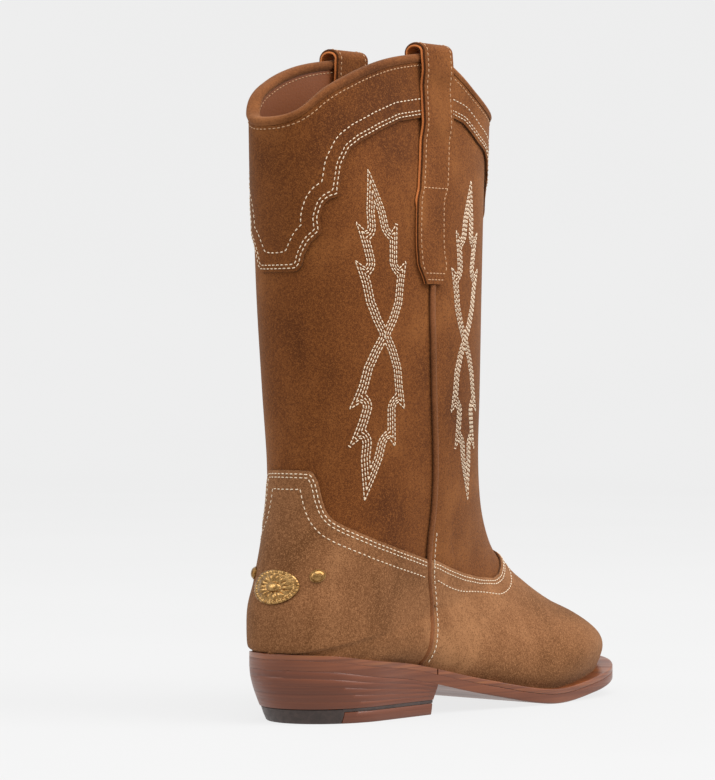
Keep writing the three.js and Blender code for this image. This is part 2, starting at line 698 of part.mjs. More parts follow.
function buildBinding() {
  const outside = OVERLAY_OUT + FIT + BINDING_SKIN;
  const inside = LINING_IN - FIT - BINDING_SKIN;
  const topEdge = shift(collarLine, 0, FIT + BINDING_SKIN);
  const band = [...topEdge, ...shift(collarLine, 0, -BINDING_DROP).reverse()];
  const underBand = sideBlock(below(shift(collarLine, 0, FIT)));
  const room = layer(LINING_IN - FIT, OVERLAY_OUT + FIT).intersect(underBand);
  addPiece('collar_binding', layer(inside, outside).intersect(sideBlock(band)).subtract(room), CALF);
}

function buildPiping() {
  const strip = [...shift(seamLine, -PIPING_HALF, 0), ...shift(seamLine, PIPING_HALF, 0).reverse()];
  const foot = featherHeight(seamAt(ANKLE_HEIGHT / 4)) + OVERLAY_OUT + 3 * FIT;
  const span = sideBlock([[-FAR, foot], [FAR, foot], [FAR, up(PIPING_TOP)], [-FAR, up(PIPING_TOP)]]);
  const shaped = layer(OVERLAY_IN, OVERLAY_OUT + PIPING_PROUD).intersect(span);
  addPiece('side_piping_outer', shaped.intersect(sideBlock(strip, 0, BLOCK_HALF)), CALF);
  addPiece('side_piping_inner', shaped.intersect(sideBlock(strip, -BLOCK_HALF, 0)), CALF);
}

// ---- Pull straps ----
const seamZ = seamLine.map(([, z]) => z);
const seamY = seamLine.map(([y]) => y);
function seamAt(z) {
  return smooth(seamZ.slice(1), seamY.slice(1), z);
}

function strapHalfAt(z) {
  const share = THREE.MathUtils.clamp((z - up(STRAP_BOTTOM)) / (STRAP_SHOULDER - STRAP_BOTTOM), 0, 1);
  return STRAP_TIP_HALF + (STRAP_HALF - STRAP_TIP_HALF) * share;
}

const STRAP_LEVELS = [220, 229, 245, 262, 280, 294, 301, 315, 326, 332];
const STRAP_STRAIGHT_TOP = COLLAR_CREST + 2 * FIT + BINDING_SKIN;
const STRAP_ON_PANEL = PANEL_OUT + FIT + STRAP_EASE;
const STRAP_ON_YOKE = OVERLAY_OUT + FIT;
const STRAP_ON_BINDING = OVERLAY_OUT + 2 * FIT + BINDING_SKIN + STRAP_EASE;
const YOKE_EDGE_LEVEL = 300; // the strap climbs onto the yokes here and onto the binding below the crest
const ARC_STEPS = 6;

function strapDistance(drawnZ) {
  if (drawnZ < YOKE_EDGE_LEVEL) return STRAP_ON_PANEL;
  return drawnZ < 325 ? STRAP_ON_YOKE : STRAP_ON_BINDING;
}

// One face of a strap's ply, as rows of points from the outer leg's tip over the top and down inside.
function strapFace(side, lift) {
  const crest = COLLAR_CREST + FIT + BINDING_SKIN + STRAP_RISE + lift;
  const insideDistance = LINING_IN - 2 * FIT - BINDING_SKIN - lift - STRAP_INNER_EASE;
  const rows = STRAP_LEVELS.map((level) => strapRow(side, up(level), strapDistance(level) + lift));
  const top = STRAP_STRAIGHT_TOP;
  const outerTop = strapRow(side, top, STRAP_ON_BINDING + lift);
  rows.push(outerTop);
  const innerTop = strapRow(side, top, insideDistance);
  for (let k = 1; k < ARC_STEPS; k += 1) {
    const turn = (Math.PI * k) / ARC_STEPS;
    rows.push(outerTop.map(([x, y, z], i) => {
      const [innerX] = innerTop[i];
      const middleX = (x + innerX) / 2;
      return [middleX + ((x - innerX) / 2) * Math.cos(turn), y, z + (crest - top) * Math.sin(turn)];
    }));
  }
  rows.push(innerTop);
  rows.push(strapRow(side, top - STRAP_INNER_DROP / 2, insideDistance));
  rows.push(strapRow(side, top - STRAP_INNER_DROP, insideDistance));
  return rows;
}

function strapRow(side, z, distance) {
  const centre = seamAt(z);
  const half = strapHalfAt(z);
  return Array.from({ length: STRAP_ACROSS + 1 }, (_, k) => {
    const y = centre + half * ((2 * k) / STRAP_ACROSS - 1);
    return [surfaceX(y, z, side) + side * distance, y, z];
  });
}

function strapPly(side, from, thickness) {
  const low = strapFace(side, from);
  const high = strapFace(side, from + thickness);
  return loft(low.map((row, k) => [...row, ...high[k].slice().reverse()]));
}

function buildStraps() {
  for (const [side, name] of [[1, 'outer'], [-1, 'inner']]) {
    addPiece(`pull_strap_${name}_backing`, strapPly(side, 0, STRAP_BACKING), RAW_EDGE);
    addPiece(`pull_strap_${name}`, strapPly(side, STRAP_BACKING + FIT, STRAP_SKIN), SUEDE);
  }
}

// ---- Bottom ----
function edgeAt(y) {
  const heelToWaist = THREE.MathUtils.smoothstep(y, 0, HEEL_BREAST);
  const waistToBall = THREE.MathUtils.smoothstep(y, 70, 130);
  const ballToToe = THREE.MathUtils.smoothstep(y, 150, 200);
  const atWaist = HEEL_SEAT_EDGE + (WAIST_EDGE - HEEL_SEAT_EDGE) * heelToWaist;
  const atBall = atWaist + (FOREPART_EDGE - WAIST_EDGE) * waistToBall;
  return atBall + (TOE_EDGE - FOREPART_EDGE) * ballToToe;
}

function ringSheet(from, to, innerFrom, innerTo) {
  const outside = soleSheet({ from, to, grow: edgeAt, bottom: WELT_BOTTOM, top: WELT_TOP });
  const inside = soleSheet({
    from: innerFrom, to: innerTo, grow: -WELT_INNER, bottom: WELT_BOTTOM - 1, top: WELT_TOP + 1,
  });
  return outside.subtract(inside);
}

function buildBottom() {
  const backEnd = FEATHER_BACK - HEEL_SEAT_EDGE + TIP;
  const toeTip = FEATHER_TOE + TOE_EDGE - TIP;
  const innerBack = FEATHER_BACK + WELT_INNER + TIP;
  const innerToe = FEATHER_TOE - WELT_INNER - TIP;
  addPiece('welt', ringSheet(HEEL_BREAST, toeTip, HEEL_BREAST - 5, innerToe), SOLE_LEATHER);
  addPiece('heel_rand', ringSheet(backEnd, HEEL_BREAST - FIT, innerBack, HEEL_BREAST + 5), SOLE_LEATHER);
  addPiece('outsole', soleSheet({
    from: backEnd, to: toeTip, grow: edgeAt, bottom: OUTSOLE_BOTTOM, top: OUTSOLE_TOP,
  }), SOLE_LEATHER);
  const insoleGrow = LINING_IN - across(INSOLE_EASE);
  addPiece('insole', soleSheet({
    from: FEATHER_BACK - insoleGrow + TIP, to: FEATHER_TOE + insoleGrow - TIP, grow: insoleGrow,
    bottom: INSOLE_BOTTOM, top: INSOLE_TOP,
  }), BOARD);
  addPiece('heel_pad', soleSheet({
    from: FEATHER_BACK - insoleGrow + TIP, to: HEEL_BREAST + 8, grow: insoleGrow,
    bottom: INSOLE_TOP + FIT, top: INSOLE_TOP + FIT + HEEL_PAD_THICKNESS,
  }), LINING_LEATHER);
  buildFiller();
}

function buildFiller() {
  const plug = LASTING_MARGIN + 3 * FIT;
  const upper = soleSheet({
    from: FEATHER_BACK + plug + TIP, to: FEATHER_TOE - plug - TIP, grow: -plug,
    bottom: WELT_TOP - 2 * FIT, top: -LINING_IN,
  });
  const seat = WELT_INNER + 4 * FIT;
  const lower = soleSheet({
    from: FEATHER_BACK + seat + TIP, to: FEATHER_TOE - seat - TIP, grow: -seat,
    bottom: WELT_BOTTOM, top: WELT_TOP,
  });
  const shankTop = -LINING_IN - FIT;
  const shank = strip(SHANK_START, SHANK_END, SHANK_HALF, shankTop - SHANK_THICKNESS, shankTop);
  const pocketBottom = shankTop - SHANK_THICKNESS - FIT;
  const pocket = strip(
    SHANK_START - FIT, SHANK_END + FIT, SHANK_HALF + FIT, pocketBottom, -LINING_IN + FINE,
  );
  addPiece('cork_filler', upper.add(lower).subtract(pocket), CORK);
  addPiece('shank', shank, STEEL);
}

function strip(from, to, half, bottom, top) {
  const rings = sheetRows(from, to).map((y) => {
    const z = featherHeight(y);
    return [[half, y, z + bottom], [half, y, z + top], [-half, y, z + top], [-half, y, z + bottom]];
  });
  return loft(rings);
}

// ---- Heel ----
function heelTop(y) {
  return featherHeight(y) + OUTSOLE_BOTTOM - FIT;
}

// A share 0 of the height is the floor and 1 is the outsole.
function heelPoint(share, u) {
  const mix = (bottom, top) => bottom + (top - bottom) * share;
  const backY = mix(HEEL_BACK_BOTTOM, HEEL_BACK_TOP);
  const breastY = mix(HEEL_BREAST_BOTTOM, HEEL_BREAST);
  const y = backY + TIP + (breastY - backY - TIP) * u;
  const round = THREE.MathUtils.clamp(1 - (y - backY) / HEEL_ROUND, 0, 1);
  const fullHalf = mix(across(HEEL_HALF_BOTTOM), across(HEEL_HALF_TOP));
  const half = fullHalf * (1 - round ** HEEL_ROUND_POWER) ** (1 / HEEL_ROUND_POWER);
  return { y, half };
}

function heelSlice(bottomShare, bottomZ, topShare, topZ) {
  const rings = spread(0, 1, HEEL_STEPS).map((u) => {
    const low = heelPoint(bottomShare, u);
    const high = heelPoint(topShare, u);
    return [
      [low.half, low.y, bottomZ(low.y)], [high.half, high.y, topZ(high.y)],
      [-high.half, high.y, topZ(high.y)], [-low.half, low.y, bottomZ(low.y)],
    ];
  });
  return loft(rings);
}

function heelLevel(share) {
  return (y) => TOP_LIFT + FIT + (heelTop(y) - TOP_LIFT - FIT) * share;
}

function buildHeel() {
  const base = TOP_LIFT / heelTop(0);
  const nails = NAILS.map(([x, y]) => [across(x), y]);
  const nailHoles = nails.map((place) => nailRod(place, NAIL_RADIUS + FIT, -1, NAIL_LENGTH + FIT));
  const nailed = (solid) => nailHoles.reduce((left, hole) => left.subtract(hole), solid);
  for (let k = 0; k < HEEL_LIFTS; k += 1) {
    const [low, high] = [k / HEEL_LIFTS, (k + 1) / HEEL_LIFTS];
    const gap = k === HEEL_LIFTS - 1 ? 0 : FIT;
    const level = heelLevel(high);
    const lift = heelSlice(
      base + (1 - base) * low, heelLevel(low), base + (1 - base) * high, (y) => level(y) - gap,
    );
    addPiece(`heel_lift_${k + 1}`, nailed(lift), STACK_LEATHER);
  }
  const tread = heelSlice(0, () => 0, base, () => TOP_LIFT);
  const insertTop = TOP_LIFT - TOP_LIFT_SKIN;
  const insertRoom = sideBlock([
    [RUBBER_FRONT, -1], [FAR, -1], [FAR, insertTop], [RUBBER_FRONT, insertTop],
  ]);
  const insertFront = RUBBER_FRONT + FIT;
  const insertBlock = sideBlock([
    [insertFront, -1], [FAR, -1], [FAR, insertTop - FIT], [insertFront, insertTop - FIT],
  ]);
  addPiece('top_lift_rubber', nailed(tread.subtract(insertRoom)), RUBBER);
  addPiece('top_lift_leather', nailed(tread.intersect(insertBlock)), STACK_LEATHER);
  nails.forEach((place, k) => {
    addPiece(`heel_nail_${k + 1}`, nailRod(place, NAIL_RADIUS, FIT, NAIL_LENGTH), BRASS);
  });
}

function nailRod([x, y], radius, fromZ, toZ) {
  return rod([x, y, fromZ], new THREE.Vector3(0, 0, 1), toZ - fromZ, radius, NAIL_SIDES);
}

// ---- Heel ornament ----
function ovalBlock(halfWidth, halfHeight) {
  const shape = new THREE.Shape();
  shape.absellipse(0, 0, halfWidth, halfHeight, 0, 2 * Math.PI);
  const geometry = new THREE.ExtrudeGeometry(shape, { depth: 60, bevelEnabled: false, curveSegments: 14 });
  geometry.rotateX(Math.PI / 2);
  geometry.translate(0, ornamentSection.middleY - 15, ORNAMENT_HEIGHT);
  return toSolid(geometry);
}

function buildOrnament() {
  const seat = OVERLAY_OUT + FIT;
  const plate = layer(seat, seat + CONCHO_SKIN).intersect(ovalBlock(CONCHO_HALF_WIDTH, CONCHO_HALF_HEIGHT));
  const boss = layer(seat, seat + CONCHO_SKIN + CONCHO_BOSS)
    .intersect(ovalBlock(CONCHO_HALF_WIDTH * BOSS_SHARE, CONCHO_HALF_HEIGHT * BOSS_SHARE));
  const studs = layer(seat, seat + CONCHO_SKIN);
  const heads = {
    concho: plate.add(boss),
    stud_outer: studs.intersect(rivetRod(STUD_ANGLE, HEAD_IN, HEAD_OUT, STUD_RADIUS, RIVET_SIDES)),
    stud_inner: studs.intersect(rivetRod(-STUD_ANGLE, HEAD_IN, HEAD_OUT, STUD_RADIUS, RIVET_SIDES)),
  };
  const inner = formAt(LINING_IN - FIT);
  for (const { name, angle } of ornamentRivets) {
    const pin = rivetRod(angle, RIVET_IN, RIVET_OUT, PIN_RADIUS, RIVET_SIDES);
    const length = formAt(seat + CONCHO_SKIN / 2).subtract(formAt(LINING_IN - FIT - WASHER_THICKNESS / 2));
    const washer = rivetRod(angle, RIVET_IN, RIVET_OUT, WASHER_RADIUS, RIVET_SIDES)
      .intersect(inner.subtract(formAt(LINING_IN - FIT - WASHER_THICKNESS)));
    addPiece(`heel_${name}`, heads[name].add(pin.intersect(length)).add(washer), BRASS);
  }
}

buildUpper();
buildLinings();
buildBinding();
buildPiping();
buildStraps();
buildBottom();
buildHeel();
buildOrnament();

export default boot;
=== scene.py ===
import math

import bmesh
import bpy
import numpy as np
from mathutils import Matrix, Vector


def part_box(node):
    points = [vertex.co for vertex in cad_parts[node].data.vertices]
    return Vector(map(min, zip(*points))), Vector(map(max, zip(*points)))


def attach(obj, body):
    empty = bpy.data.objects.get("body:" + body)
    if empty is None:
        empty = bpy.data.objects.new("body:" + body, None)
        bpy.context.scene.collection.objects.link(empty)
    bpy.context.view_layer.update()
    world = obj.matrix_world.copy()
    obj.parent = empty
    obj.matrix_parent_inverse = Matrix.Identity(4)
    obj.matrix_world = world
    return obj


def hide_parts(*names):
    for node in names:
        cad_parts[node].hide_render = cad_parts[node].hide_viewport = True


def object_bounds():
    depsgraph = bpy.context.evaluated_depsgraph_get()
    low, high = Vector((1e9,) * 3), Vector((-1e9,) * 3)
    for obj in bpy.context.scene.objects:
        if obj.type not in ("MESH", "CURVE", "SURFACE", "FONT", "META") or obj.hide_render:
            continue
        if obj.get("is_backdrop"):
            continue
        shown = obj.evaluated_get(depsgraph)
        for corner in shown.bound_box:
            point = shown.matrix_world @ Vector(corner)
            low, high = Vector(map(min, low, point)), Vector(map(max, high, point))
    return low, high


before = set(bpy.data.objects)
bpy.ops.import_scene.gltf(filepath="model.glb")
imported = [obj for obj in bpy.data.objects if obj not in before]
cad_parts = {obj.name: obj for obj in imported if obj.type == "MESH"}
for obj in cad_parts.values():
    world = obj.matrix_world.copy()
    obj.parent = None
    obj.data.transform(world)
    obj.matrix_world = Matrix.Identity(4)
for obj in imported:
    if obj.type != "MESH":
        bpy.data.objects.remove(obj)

cad_low, cad_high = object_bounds()
scene = bpy.context.scene
MM = 0.001

# ---- Camera ----
CAMERA_PLACE = (1.1079, -1.2896, 0.174)
CAMERA_TURN = 40
CAMERA_LENS = 155.04
CAMERA_DROP = -0.0192

camera_data = bpy.data.cameras.new("studio_camera")
camera_data.lens = CAMERA_LENS
camera_data.sensor_width = 36
camera_data.shift_y = CAMERA_DROP
camera = bpy.data.objects.new("studio_camera", camera_data)
camera.location = CAMERA_PLACE
camera.rotation_euler = (math.radians(90), 0, math.radians(CAMERA_TURN))
scene.collection.objects.link(camera)
scene.camera = camera

# ---- The form that the leather is pulled over, in millimetres ----
# Columns: place, back y and z, front y and z, outer and inner half width, share of the line where
# it is widest, share of the half width left at the sole, exponents of the low and high arcs, lean.
STATIONS = np.array([
    (-1, -43, 372, 127, 372, 28, 28, 0.5, 0, 2.8, 2.8, 0),
    (0, -41.5, 345, 126, 345, 30, 30, 0.5, 0, 2.7, 2.7, 0),
    (1, -39.5, 310, 125, 310, 33, 33, 0.5, 0, 2.6, 2.6, 0),
    (2, -35.5, 265, 119, 265, 40, 40, 0.5, 0, 2.35, 2.35, 0),
    (3, -31.5, 215, 115, 215, 44, 44, 0.5, 0, 2.2, 2.2, 0),
    (4, -27.5, 165, 114, 165, 43.5, 43.5, 0.5, 0, 2.15, 2.15, 0),
    (5, -25.5, 128, 117, 133, 41, 41, 0.47, 0, 2.1, 2.05, 0),
    (6, -26.5, 98, 123, 108, 38.5, 38.5, 0.42, 0, 2.15, 2, 0),
    (7, -33, 70, 133, 90, 36, 36, 0.36, 0, 2.3, 1.95, 0),
    (8, -37.4, 50, 143, 79, 35, 35, 0.32, 0, 2.5, 1.9, 0),
    (8.4, -36.8, 37, 147, 76, 35, 35, 0.31, 0, 2.5, 1.9, 0),
    (8.7, -34.8, 36.4, 149.5, 73.5, 35, 35, 0.3, 0.22, 2.5, 1.9, 0),
    (9.1, -29, 36.1, 153, 70.5, 35, 35, 0.3, 0.52, 2.5, 1.9, 0),
    (9.5, -18, 35.2, 157, 67.5, 35.5, 35.2, 0.3, 0.75, 2.5, 1.9, 0),
    (10, 0, 32.5, 162, 64.5, 36, 35.5, 0.3, 0.86, 2.5, 1.9, 0),
    (11, 40, 27.5, 173, 58, 37.5, 34.5, 0.3, 0.81, 2.5, 1.9, 0),
    (12, 90, 17, 184, 52, 42, 40.5, 0.3, 0.86, 2.5, 1.9, 0),
    (13, 140, 9, 194.5, 47.5, 46, 46, 0.3, 0.9, 2.5, 2, -1),
    (14, 179.5, 12.3, 205, 42.5, 41.2, 40.2, 0.3, 0.95, 2.5, 2.1, -3),
    (15, 205.5, 17.1, 214, 37.5, 31, 29.5, 0.32, 0.975, 2.5, 2.2, -5),
    (15.6, 216, 19.2, 219.5, 33.5, 20, 19, 0.35, 0.98, 2.5, 2.3, -6),
    (16, 221, 20, 222, 29.5, 9, 9, 0.4, 0.98, 2.5, 2.3, -6.5),
], float)
PLACES = STATIONS[:, 0]
SOLE_START = 8.4
TOE_END = 16.0
TOE_TIP = 17.0
TOE_DOME = 1.6
ANKLE_HEIGHT = 128

# The driving sizes, from the solids: the drawing is stretched to them.
DRAWN = {"length": 262.7, "width": 94.1, "crest": 338.3}
vamp_low, vamp_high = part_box("vamp")
counter_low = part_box("counter_cover")[0]
crest_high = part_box("collar_binding")[1][2] / MM
length_share = (vamp_high[1] - counter_low[1]) / MM / DRAWN["length"]
width_share = (vamp_high[0] - vamp_low[0]) / MM / DRAWN["width"]
crest_share = (crest_high - ANKLE_HEIGHT) / (DRAWN["crest"] - ANKLE_HEIGHT)

# Layers, as distances out from the form.
OVERLAY_OUT, OVERLAY_THICK = 0.8, 1.4
PANEL_OUT, PANEL_THICK = -0.9, 1.4
LINING_OUT, LINING_THICK = -2.9, 1.0
LINING_IN = LINING_OUT - LINING_THICK


def smooth(places, values, x):
    """A cubic through values at their places: each slope is the mean of the rises on its two
    sides, the nearer neighbour's rise counting more."""
    places = np.asarray(places, float)
    values = np.asarray(values, float).reshape(len(places), -1)
    x = np.asarray(x, float)
    span = np.diff(places)[:, None]
    rise = np.diff(values, axis=0) / span
    inner = (rise[:-1] * span[1:] + rise[1:] * span[:-1]) / (span[:-1] + span[1:])
    slope = np.vstack([rise[:1], inner, rise[-1:]])
    i = np.clip(np.searchsorted(places, x, "right") - 1, 0, len(places) - 2)
    h = span[i]
    u = (x - places[i])[..., None] / h
    u2, u3 = u * u, u * u * u
    return ((2 * u3 - 3 * u2 + 1) * values[i] + (u3 - 2 * u2 + u) * h * slope[i]
            + (3 * u2 - 2 * u3) * values[i + 1] + (u3 - u2) * h * slope[i + 1])


def smooth_step(low, high, x):
    """0 below low, 1 above high, and 3u^2 - 2u^3 between them."""
    u = np.clip((np.asarray(x, float) - low) / (high - low), 0, 1)
    return u * u * (3 - 2 * u)


def run_along(points):
    """Chord lengths added up along a line, from 0 at its start."""
    return np.concatenate([[0], np.cumsum(np.linalg.norm(np.diff(points, axis=0), axis=1))])


def read_at(points, run, at):
    """A line's points at given runs along it."""
    return np.stack([np.interp(at, run, column) for column in points.T], axis=1)


def hump(reach):
    """Weights of a moving mean that takes reach points on both sides; they add up to 1."""
    weights = np.hanning(2 * reach + 3)[1:-1]
    return weights / weights.sum()


def eased(values, reach):
    """A moving mean along a line that keeps its two ends."""
    if reach < 1 or len(values) < 4 * reach:
        return values
    before, after = 2 * values[0] - values[reach:0:-1], 2 * values[-1] - values[-2:-reach - 2:-1]
    return np.convolve(np.concatenate([before, values, after]), hump(reach), "valid")


def section(s):
    """The station's numbers at any place, its floor share kept at 0 before the sole starts."""
    rows = smooth(PLACES, STATIONS[:, 1:], s)
    floor = np.where(np.asarray(s) <= SOLE_START, 0, np.clip(rows[..., 7], 0, 0.98))
    rows[..., 7] = floor
    return rows


def arc_reach(rows):
    """How far the low arc's whole ellipse would reach below the widest place, and the turn at
    which the floor cuts it."""
    widest, floor, low = rows[..., 6], rows[..., 7], rows[..., 8]
    reach = widest / (1 - floor ** low) ** (1 / low)
    return reach, np.arcsin(floor ** (low / 2))


def arc_point(rows, t):
    """Share along the section's line and share of the half width at a turn t: 0 to 1 runs up the
    low superellipse arc and 1 to 2 up the high one."""
    widest, low, high = rows[..., 6], rows[..., 8], rows[..., 9]
    reach, start = arc_reach(rows)
    turn_low = start + (math.pi / 2 - start) * np.clip(t, 0, 1)
    turn_high = math.pi / 2 * (2 - np.clip(t, 1, 2))
    v_low = widest - reach * np.clip(np.cos(turn_low), 0, 1) ** (2 / low)
    x_low = np.clip(np.sin(turn_low), 0, 1) ** (2 / low)
    v_high = widest + (1 - widest) * np.clip(np.cos(turn_high), 0, 1) ** (2 / high)
    x_high = np.clip(np.sin(turn_high), 0, 1) ** (2 / high)
    return np.where(t < 1, v_low, v_high), np.where(t < 1, x_low, x_high)


# Turns at even lengths round each section, so that a share of the girth can be looked up.
TABLE_S = np.linspace(-1, TOE_END, 341)
TABLE_W = np.linspace(0, 1, 201)
TABLE_T = np.linspace(0, 2, 801)


def girth_table():
    """For each section, the turn at even shares of its arc length, by adding up chords."""
    rows = section(TABLE_S)[:, None, :]
    v, x = arc_point(rows, TABLE_T[None, :])
    y = rows[..., 0] + v * (rows[..., 2] - rows[..., 0])
    z = rows[..., 1] + v * (rows[..., 3] - rows[..., 1])
    wide = x * (rows[..., 4] + rows[..., 5]) / 2
    step = np.sqrt(np.diff(y) ** 2 + np.diff(z) ** 2 + np.diff(wide) ** 2)
    run = np.concatenate([np.zeros((len(TABLE_S), 1)), np.cumsum(step, axis=1)], axis=1)
    run /= run[:, -1:]
    return np.array([np.interp(TABLE_W, row, TABLE_T) for row in run])


GIRTH = girth_table()


def girth_turn(s, w):
    """The turn at a share w of the half girth: the table read between its four nearest entries."""
    a = np.clip((s - TABLE_S[0]) / (TABLE_S[1] - TABLE_S[0]), 0, len(TABLE_S) - 1.001)
    b = np.clip(w / TABLE_W[1], 0, len(TABLE_W) - 1.001)
    i, j = a.astype(int), b.astype(int)
    a, b = a - i, b - j
    return ((GIRTH[i, j] * (1 - b) + GIRTH[i, j + 1] * b) * (1 - a)
            + (GIRTH[i + 1, j] * (1 - b) + GIRTH[i + 1, j + 1] * b) * a)


def to_size(points):
    """Stretches drawn points to the driving sizes; heights below the ankle stay."""
    x, y, z = points[..., 0], points[..., 1], points[..., 2]
    z = np.where(z < ANKLE_HEIGHT, z, ANKLE_HEIGHT + (z - ANKLE_HEIGHT) * crest_share)
    return np.stack([x * width_share, y * length_share, z], axis=-1)


def surface(s, c):
    """The form's point at station s and girth share c. c runs from 0 at the back or the outer
    feather edge to 1 at the front, and on as a negative share down the inner side."""
    s, c = np.broadcast_arrays(np.asarray(s, float), np.asarray(c, float))
    c = np.where(c > 1, c - 2, np.where(c < -1, c + 2, c))
    side = np.where(c < 0, -1.0, 1.0)
    body = np.minimum(s, TOE_END)
    rows = section(body)
    v, x = arc_point(rows, girth_turn(body, np.abs(c)))
    half = np.where(side > 0, rows[..., 4], rows[..., 5])
    points = np.stack([side * half * x + rows[..., 10],
                       rows[..., 0] + v * (rows[..., 2] - rows[..., 0]),
                       rows[..., 1] + v * (rows[..., 3] - rows[..., 1])], axis=-1)
    pole = np.stack([rows[..., 10], rows[..., 0], rows[..., 1]], axis=-1)
    turn = (np.clip(s - TOE_END, 0, 1) * math.pi / 2)[..., None]
    dome = np.array([0, TOE_DOME, 0.0]) * np.sin(turn)
    return to_size(pole + (points - pole) * np.cos(turn) + dome)


# Steps for the slopes, and the share that stands for 0 on the inner side.
STEP_S, STEP_C = 0.01, 0.004
INNER_ZERO = 1e-7


def slopes(s, c):
    """The surface's two slopes, as central differences that don't cross the floor."""
    s, c = np.broadcast_arrays(np.asarray(s, float), np.asarray(c, float))
    s_low, s_high = s - STEP_S, np.minimum(s + STEP_S, TOE_TIP - STEP_S)
    floored = s > SOLE_START
    c_low = np.where(floored & (c >= 0), np.maximum(c - STEP_C, 0), c - STEP_C)
    c_high = np.where(floored & (c < 0), np.minimum(c + STEP_C, -INNER_ZERO), c + STEP_C)
    along = (surface(s_high, c) - surface(s_low, c)) / (s_high - s_low)[..., None]
    inside = np.minimum(s, TOE_TIP - 0.04)
    round_ = (surface(inside, c_high) - surface(inside, c_low)) / (c_high - c_low)[..., None]
    return along, round_


def unit(vectors):
    """Vectors over their own lengths."""
    return vectors / np.maximum(np.linalg.norm(vectors, axis=-1, keepdims=True), 1e-9)


def normals(s, c):
    """Unit cross product of the two slopes, which points out of the boot."""
    along, round_ = slopes(s, c)
    return unit(np.cross(along, round_))


def lifted(s, c, distance):
    """The form's points moved out along their normals."""
    return surface(s, c) + np.asarray(distance)[..., None] * normals(s, c)


# Lengths down the form, the mean of the back, side and front lines, to space rows evenly.
FINE_S = np.linspace(-1, TOE_TIP, 1801)


def length_table():
    """Chords added up along three lines of constant girth share, then averaged."""
    lines = [surface(FINE_S, c) for c in (0, 0.5, 1)]
    chords = np.mean([np.linalg.norm(np.diff(line, axis=0), axis=1) for line in lines], axis=0)
    return np.concatenate([[0], np.cumsum(chords)])


FINE_LENGTH = length_table()


def length_of(s):
    """Length down the form to a station, read off the table."""
    return np.interp(s, FINE_S, FINE_LENGTH)


def station_of(length):
    """Station at a length down the form."""
    return np.interp(length, FINE_LENGTH, FINE_S)


def on_form(y, z):
    """Station and girth share of a side view point: the section line through it is found by
    halving, its share gives the turn, and the girth share is found by halving again."""
    y, z = np.broadcast_arrays(np.asarray(y, float), np.asarray(z, float))
    low, high = np.full(y.shape, -1.0), np.full(y.shape, TOE_END)
    for _ in range(40):
        s = (low + high) / 2
        r = section(s)
        above = ((r[..., 2] - r[..., 0]) * (z - r[..., 1])
                 - (r[..., 3] - r[..., 1]) * (y - r[..., 0]))
        high, low = np.where(above > 0, s, high), np.where(above > 0, low, s)
    r = section(s)
    v = np.clip((y - r[..., 0]) / (r[..., 2] - r[..., 0]), 0, 1)
    widest, low_power, high_power = r[..., 6], r[..., 8], r[..., 9]
    reach, start = arc_reach(r)
    turn_low = np.arccos(np.clip((widest - v) / reach, 0, 1) ** (low_power / 2))
    turn_high = np.arccos(np.clip((v - widest) / (1 - widest), 0, 1) ** (high_power / 2))
    t = np.where(v < widest, (turn_low - start) / (math.pi / 2 - start),
                 2 - turn_high / (math.pi / 2))
    w_low, w_high = np.zeros(y.shape), np.ones(y.shape)
    for _ in range(30):
        w = (w_low + w_high) / 2
        over = girth_turn(s, w) > t
        w_high, w_low = np.where(over, w, w_high), np.where(over, w_low, w)
    return s, w


# ---- Lines across the upper, seen from the side as (y, z) ----
COLLAR_LINE = np.array([
    (-60, 290), (-42, 299), (-36, 303), (-25, 313.5), (-8, 323), (12, 330.5), (36, 335.5),
    (52, 337), (66, 334.5), (78, 329), (93, 320.5), (110, 313), (126, 309), (145, 307)], float)
SEAM_LINE = np.array([
    (42, 20), (46.5, 39), (49.5, 54), (46.5, 75), (45.5, 90), (46, 105), (45.5, 120),
    (40.5, 161), (38.5, 192), (38, 212), (39.5, 228), (40.5, 245), (43.5, 265), (48.5, 285),
    (52, 300), (53.5, 315), (53.5, 345)], float)
BACK_YOKE_EDGE = np.array([
    (0, 225.3), (1.9, 225.5), (3, 228.6), (3.6, 233.5), (5.4, 239.7), (9.3, 245), (9, 252),
    (11, 259), (13.5, 261.4), (18.5, 263), (18, 266), (21, 278), (26, 286), (33, 290.5), (48, 297),
    (63, 302.3), (79, 304.8), (96, 307)], float)
FRONT_YOKE_EDGE = np.array([
    (0, 238.8), (1.6, 239), (2.4, 245), (3.8, 252), (6.3, 258), (6, 264), (7, 271), (9, 273.4),
    (12.8, 275), (12.5, 279), (15.6, 287), (20, 291), (30.5, 295.4), (45.7, 304.3), (56.6, 306.8),
    (80, 310)], float)
COUNTER_EDGE = np.array([
    (-25.4, 126.4), (-21.7, 126), (-20, 120.3), (-18.9, 111.7), (-17.7, 105.8), (-15.5, 101.8),
    (-10.8, 98.4), (-3.9, 95.1), (6.7, 90.7), (20.7, 86.3), (44.4, 80.1)], float)
VAMP_EDGE = np.array([
    (46.5, 79.9), (56, 78.3), (66, 75.2), (82, 71.2), (99, 68.3), (117, 66.7), (125.4, 68.4),
    (132.4, 72.1), (139, 77), (141.5, 80.4)], float)


def along_line(points, step=0.6, soft=0.0):
    """A side view line resampled at even steps, its corners eased by a moving mean soft long."""
    run = run_along(points)
    count = max(int(run[-1] / step) + 1, 8)
    line = read_at(points, run, np.linspace(0, run[-1], count))
    reach = int(soft / (run[-1] / (count - 1)))
    return np.stack([eased(column, reach) for column in line.T], axis=1)


def seam_y(z):
    """The side seam's y at a height, through its points."""
    return smooth(SEAM_LINE[:, 1], SEAM_LINE[:, 0], z)[..., 0]


def back_y(z):
    """The back line's y at a height, through the stations' back points down to the heel curve."""
    return smooth(-STATIONS[:9, 2], STATIONS[:9, 1], -np.asarray(z, float))[..., 0]


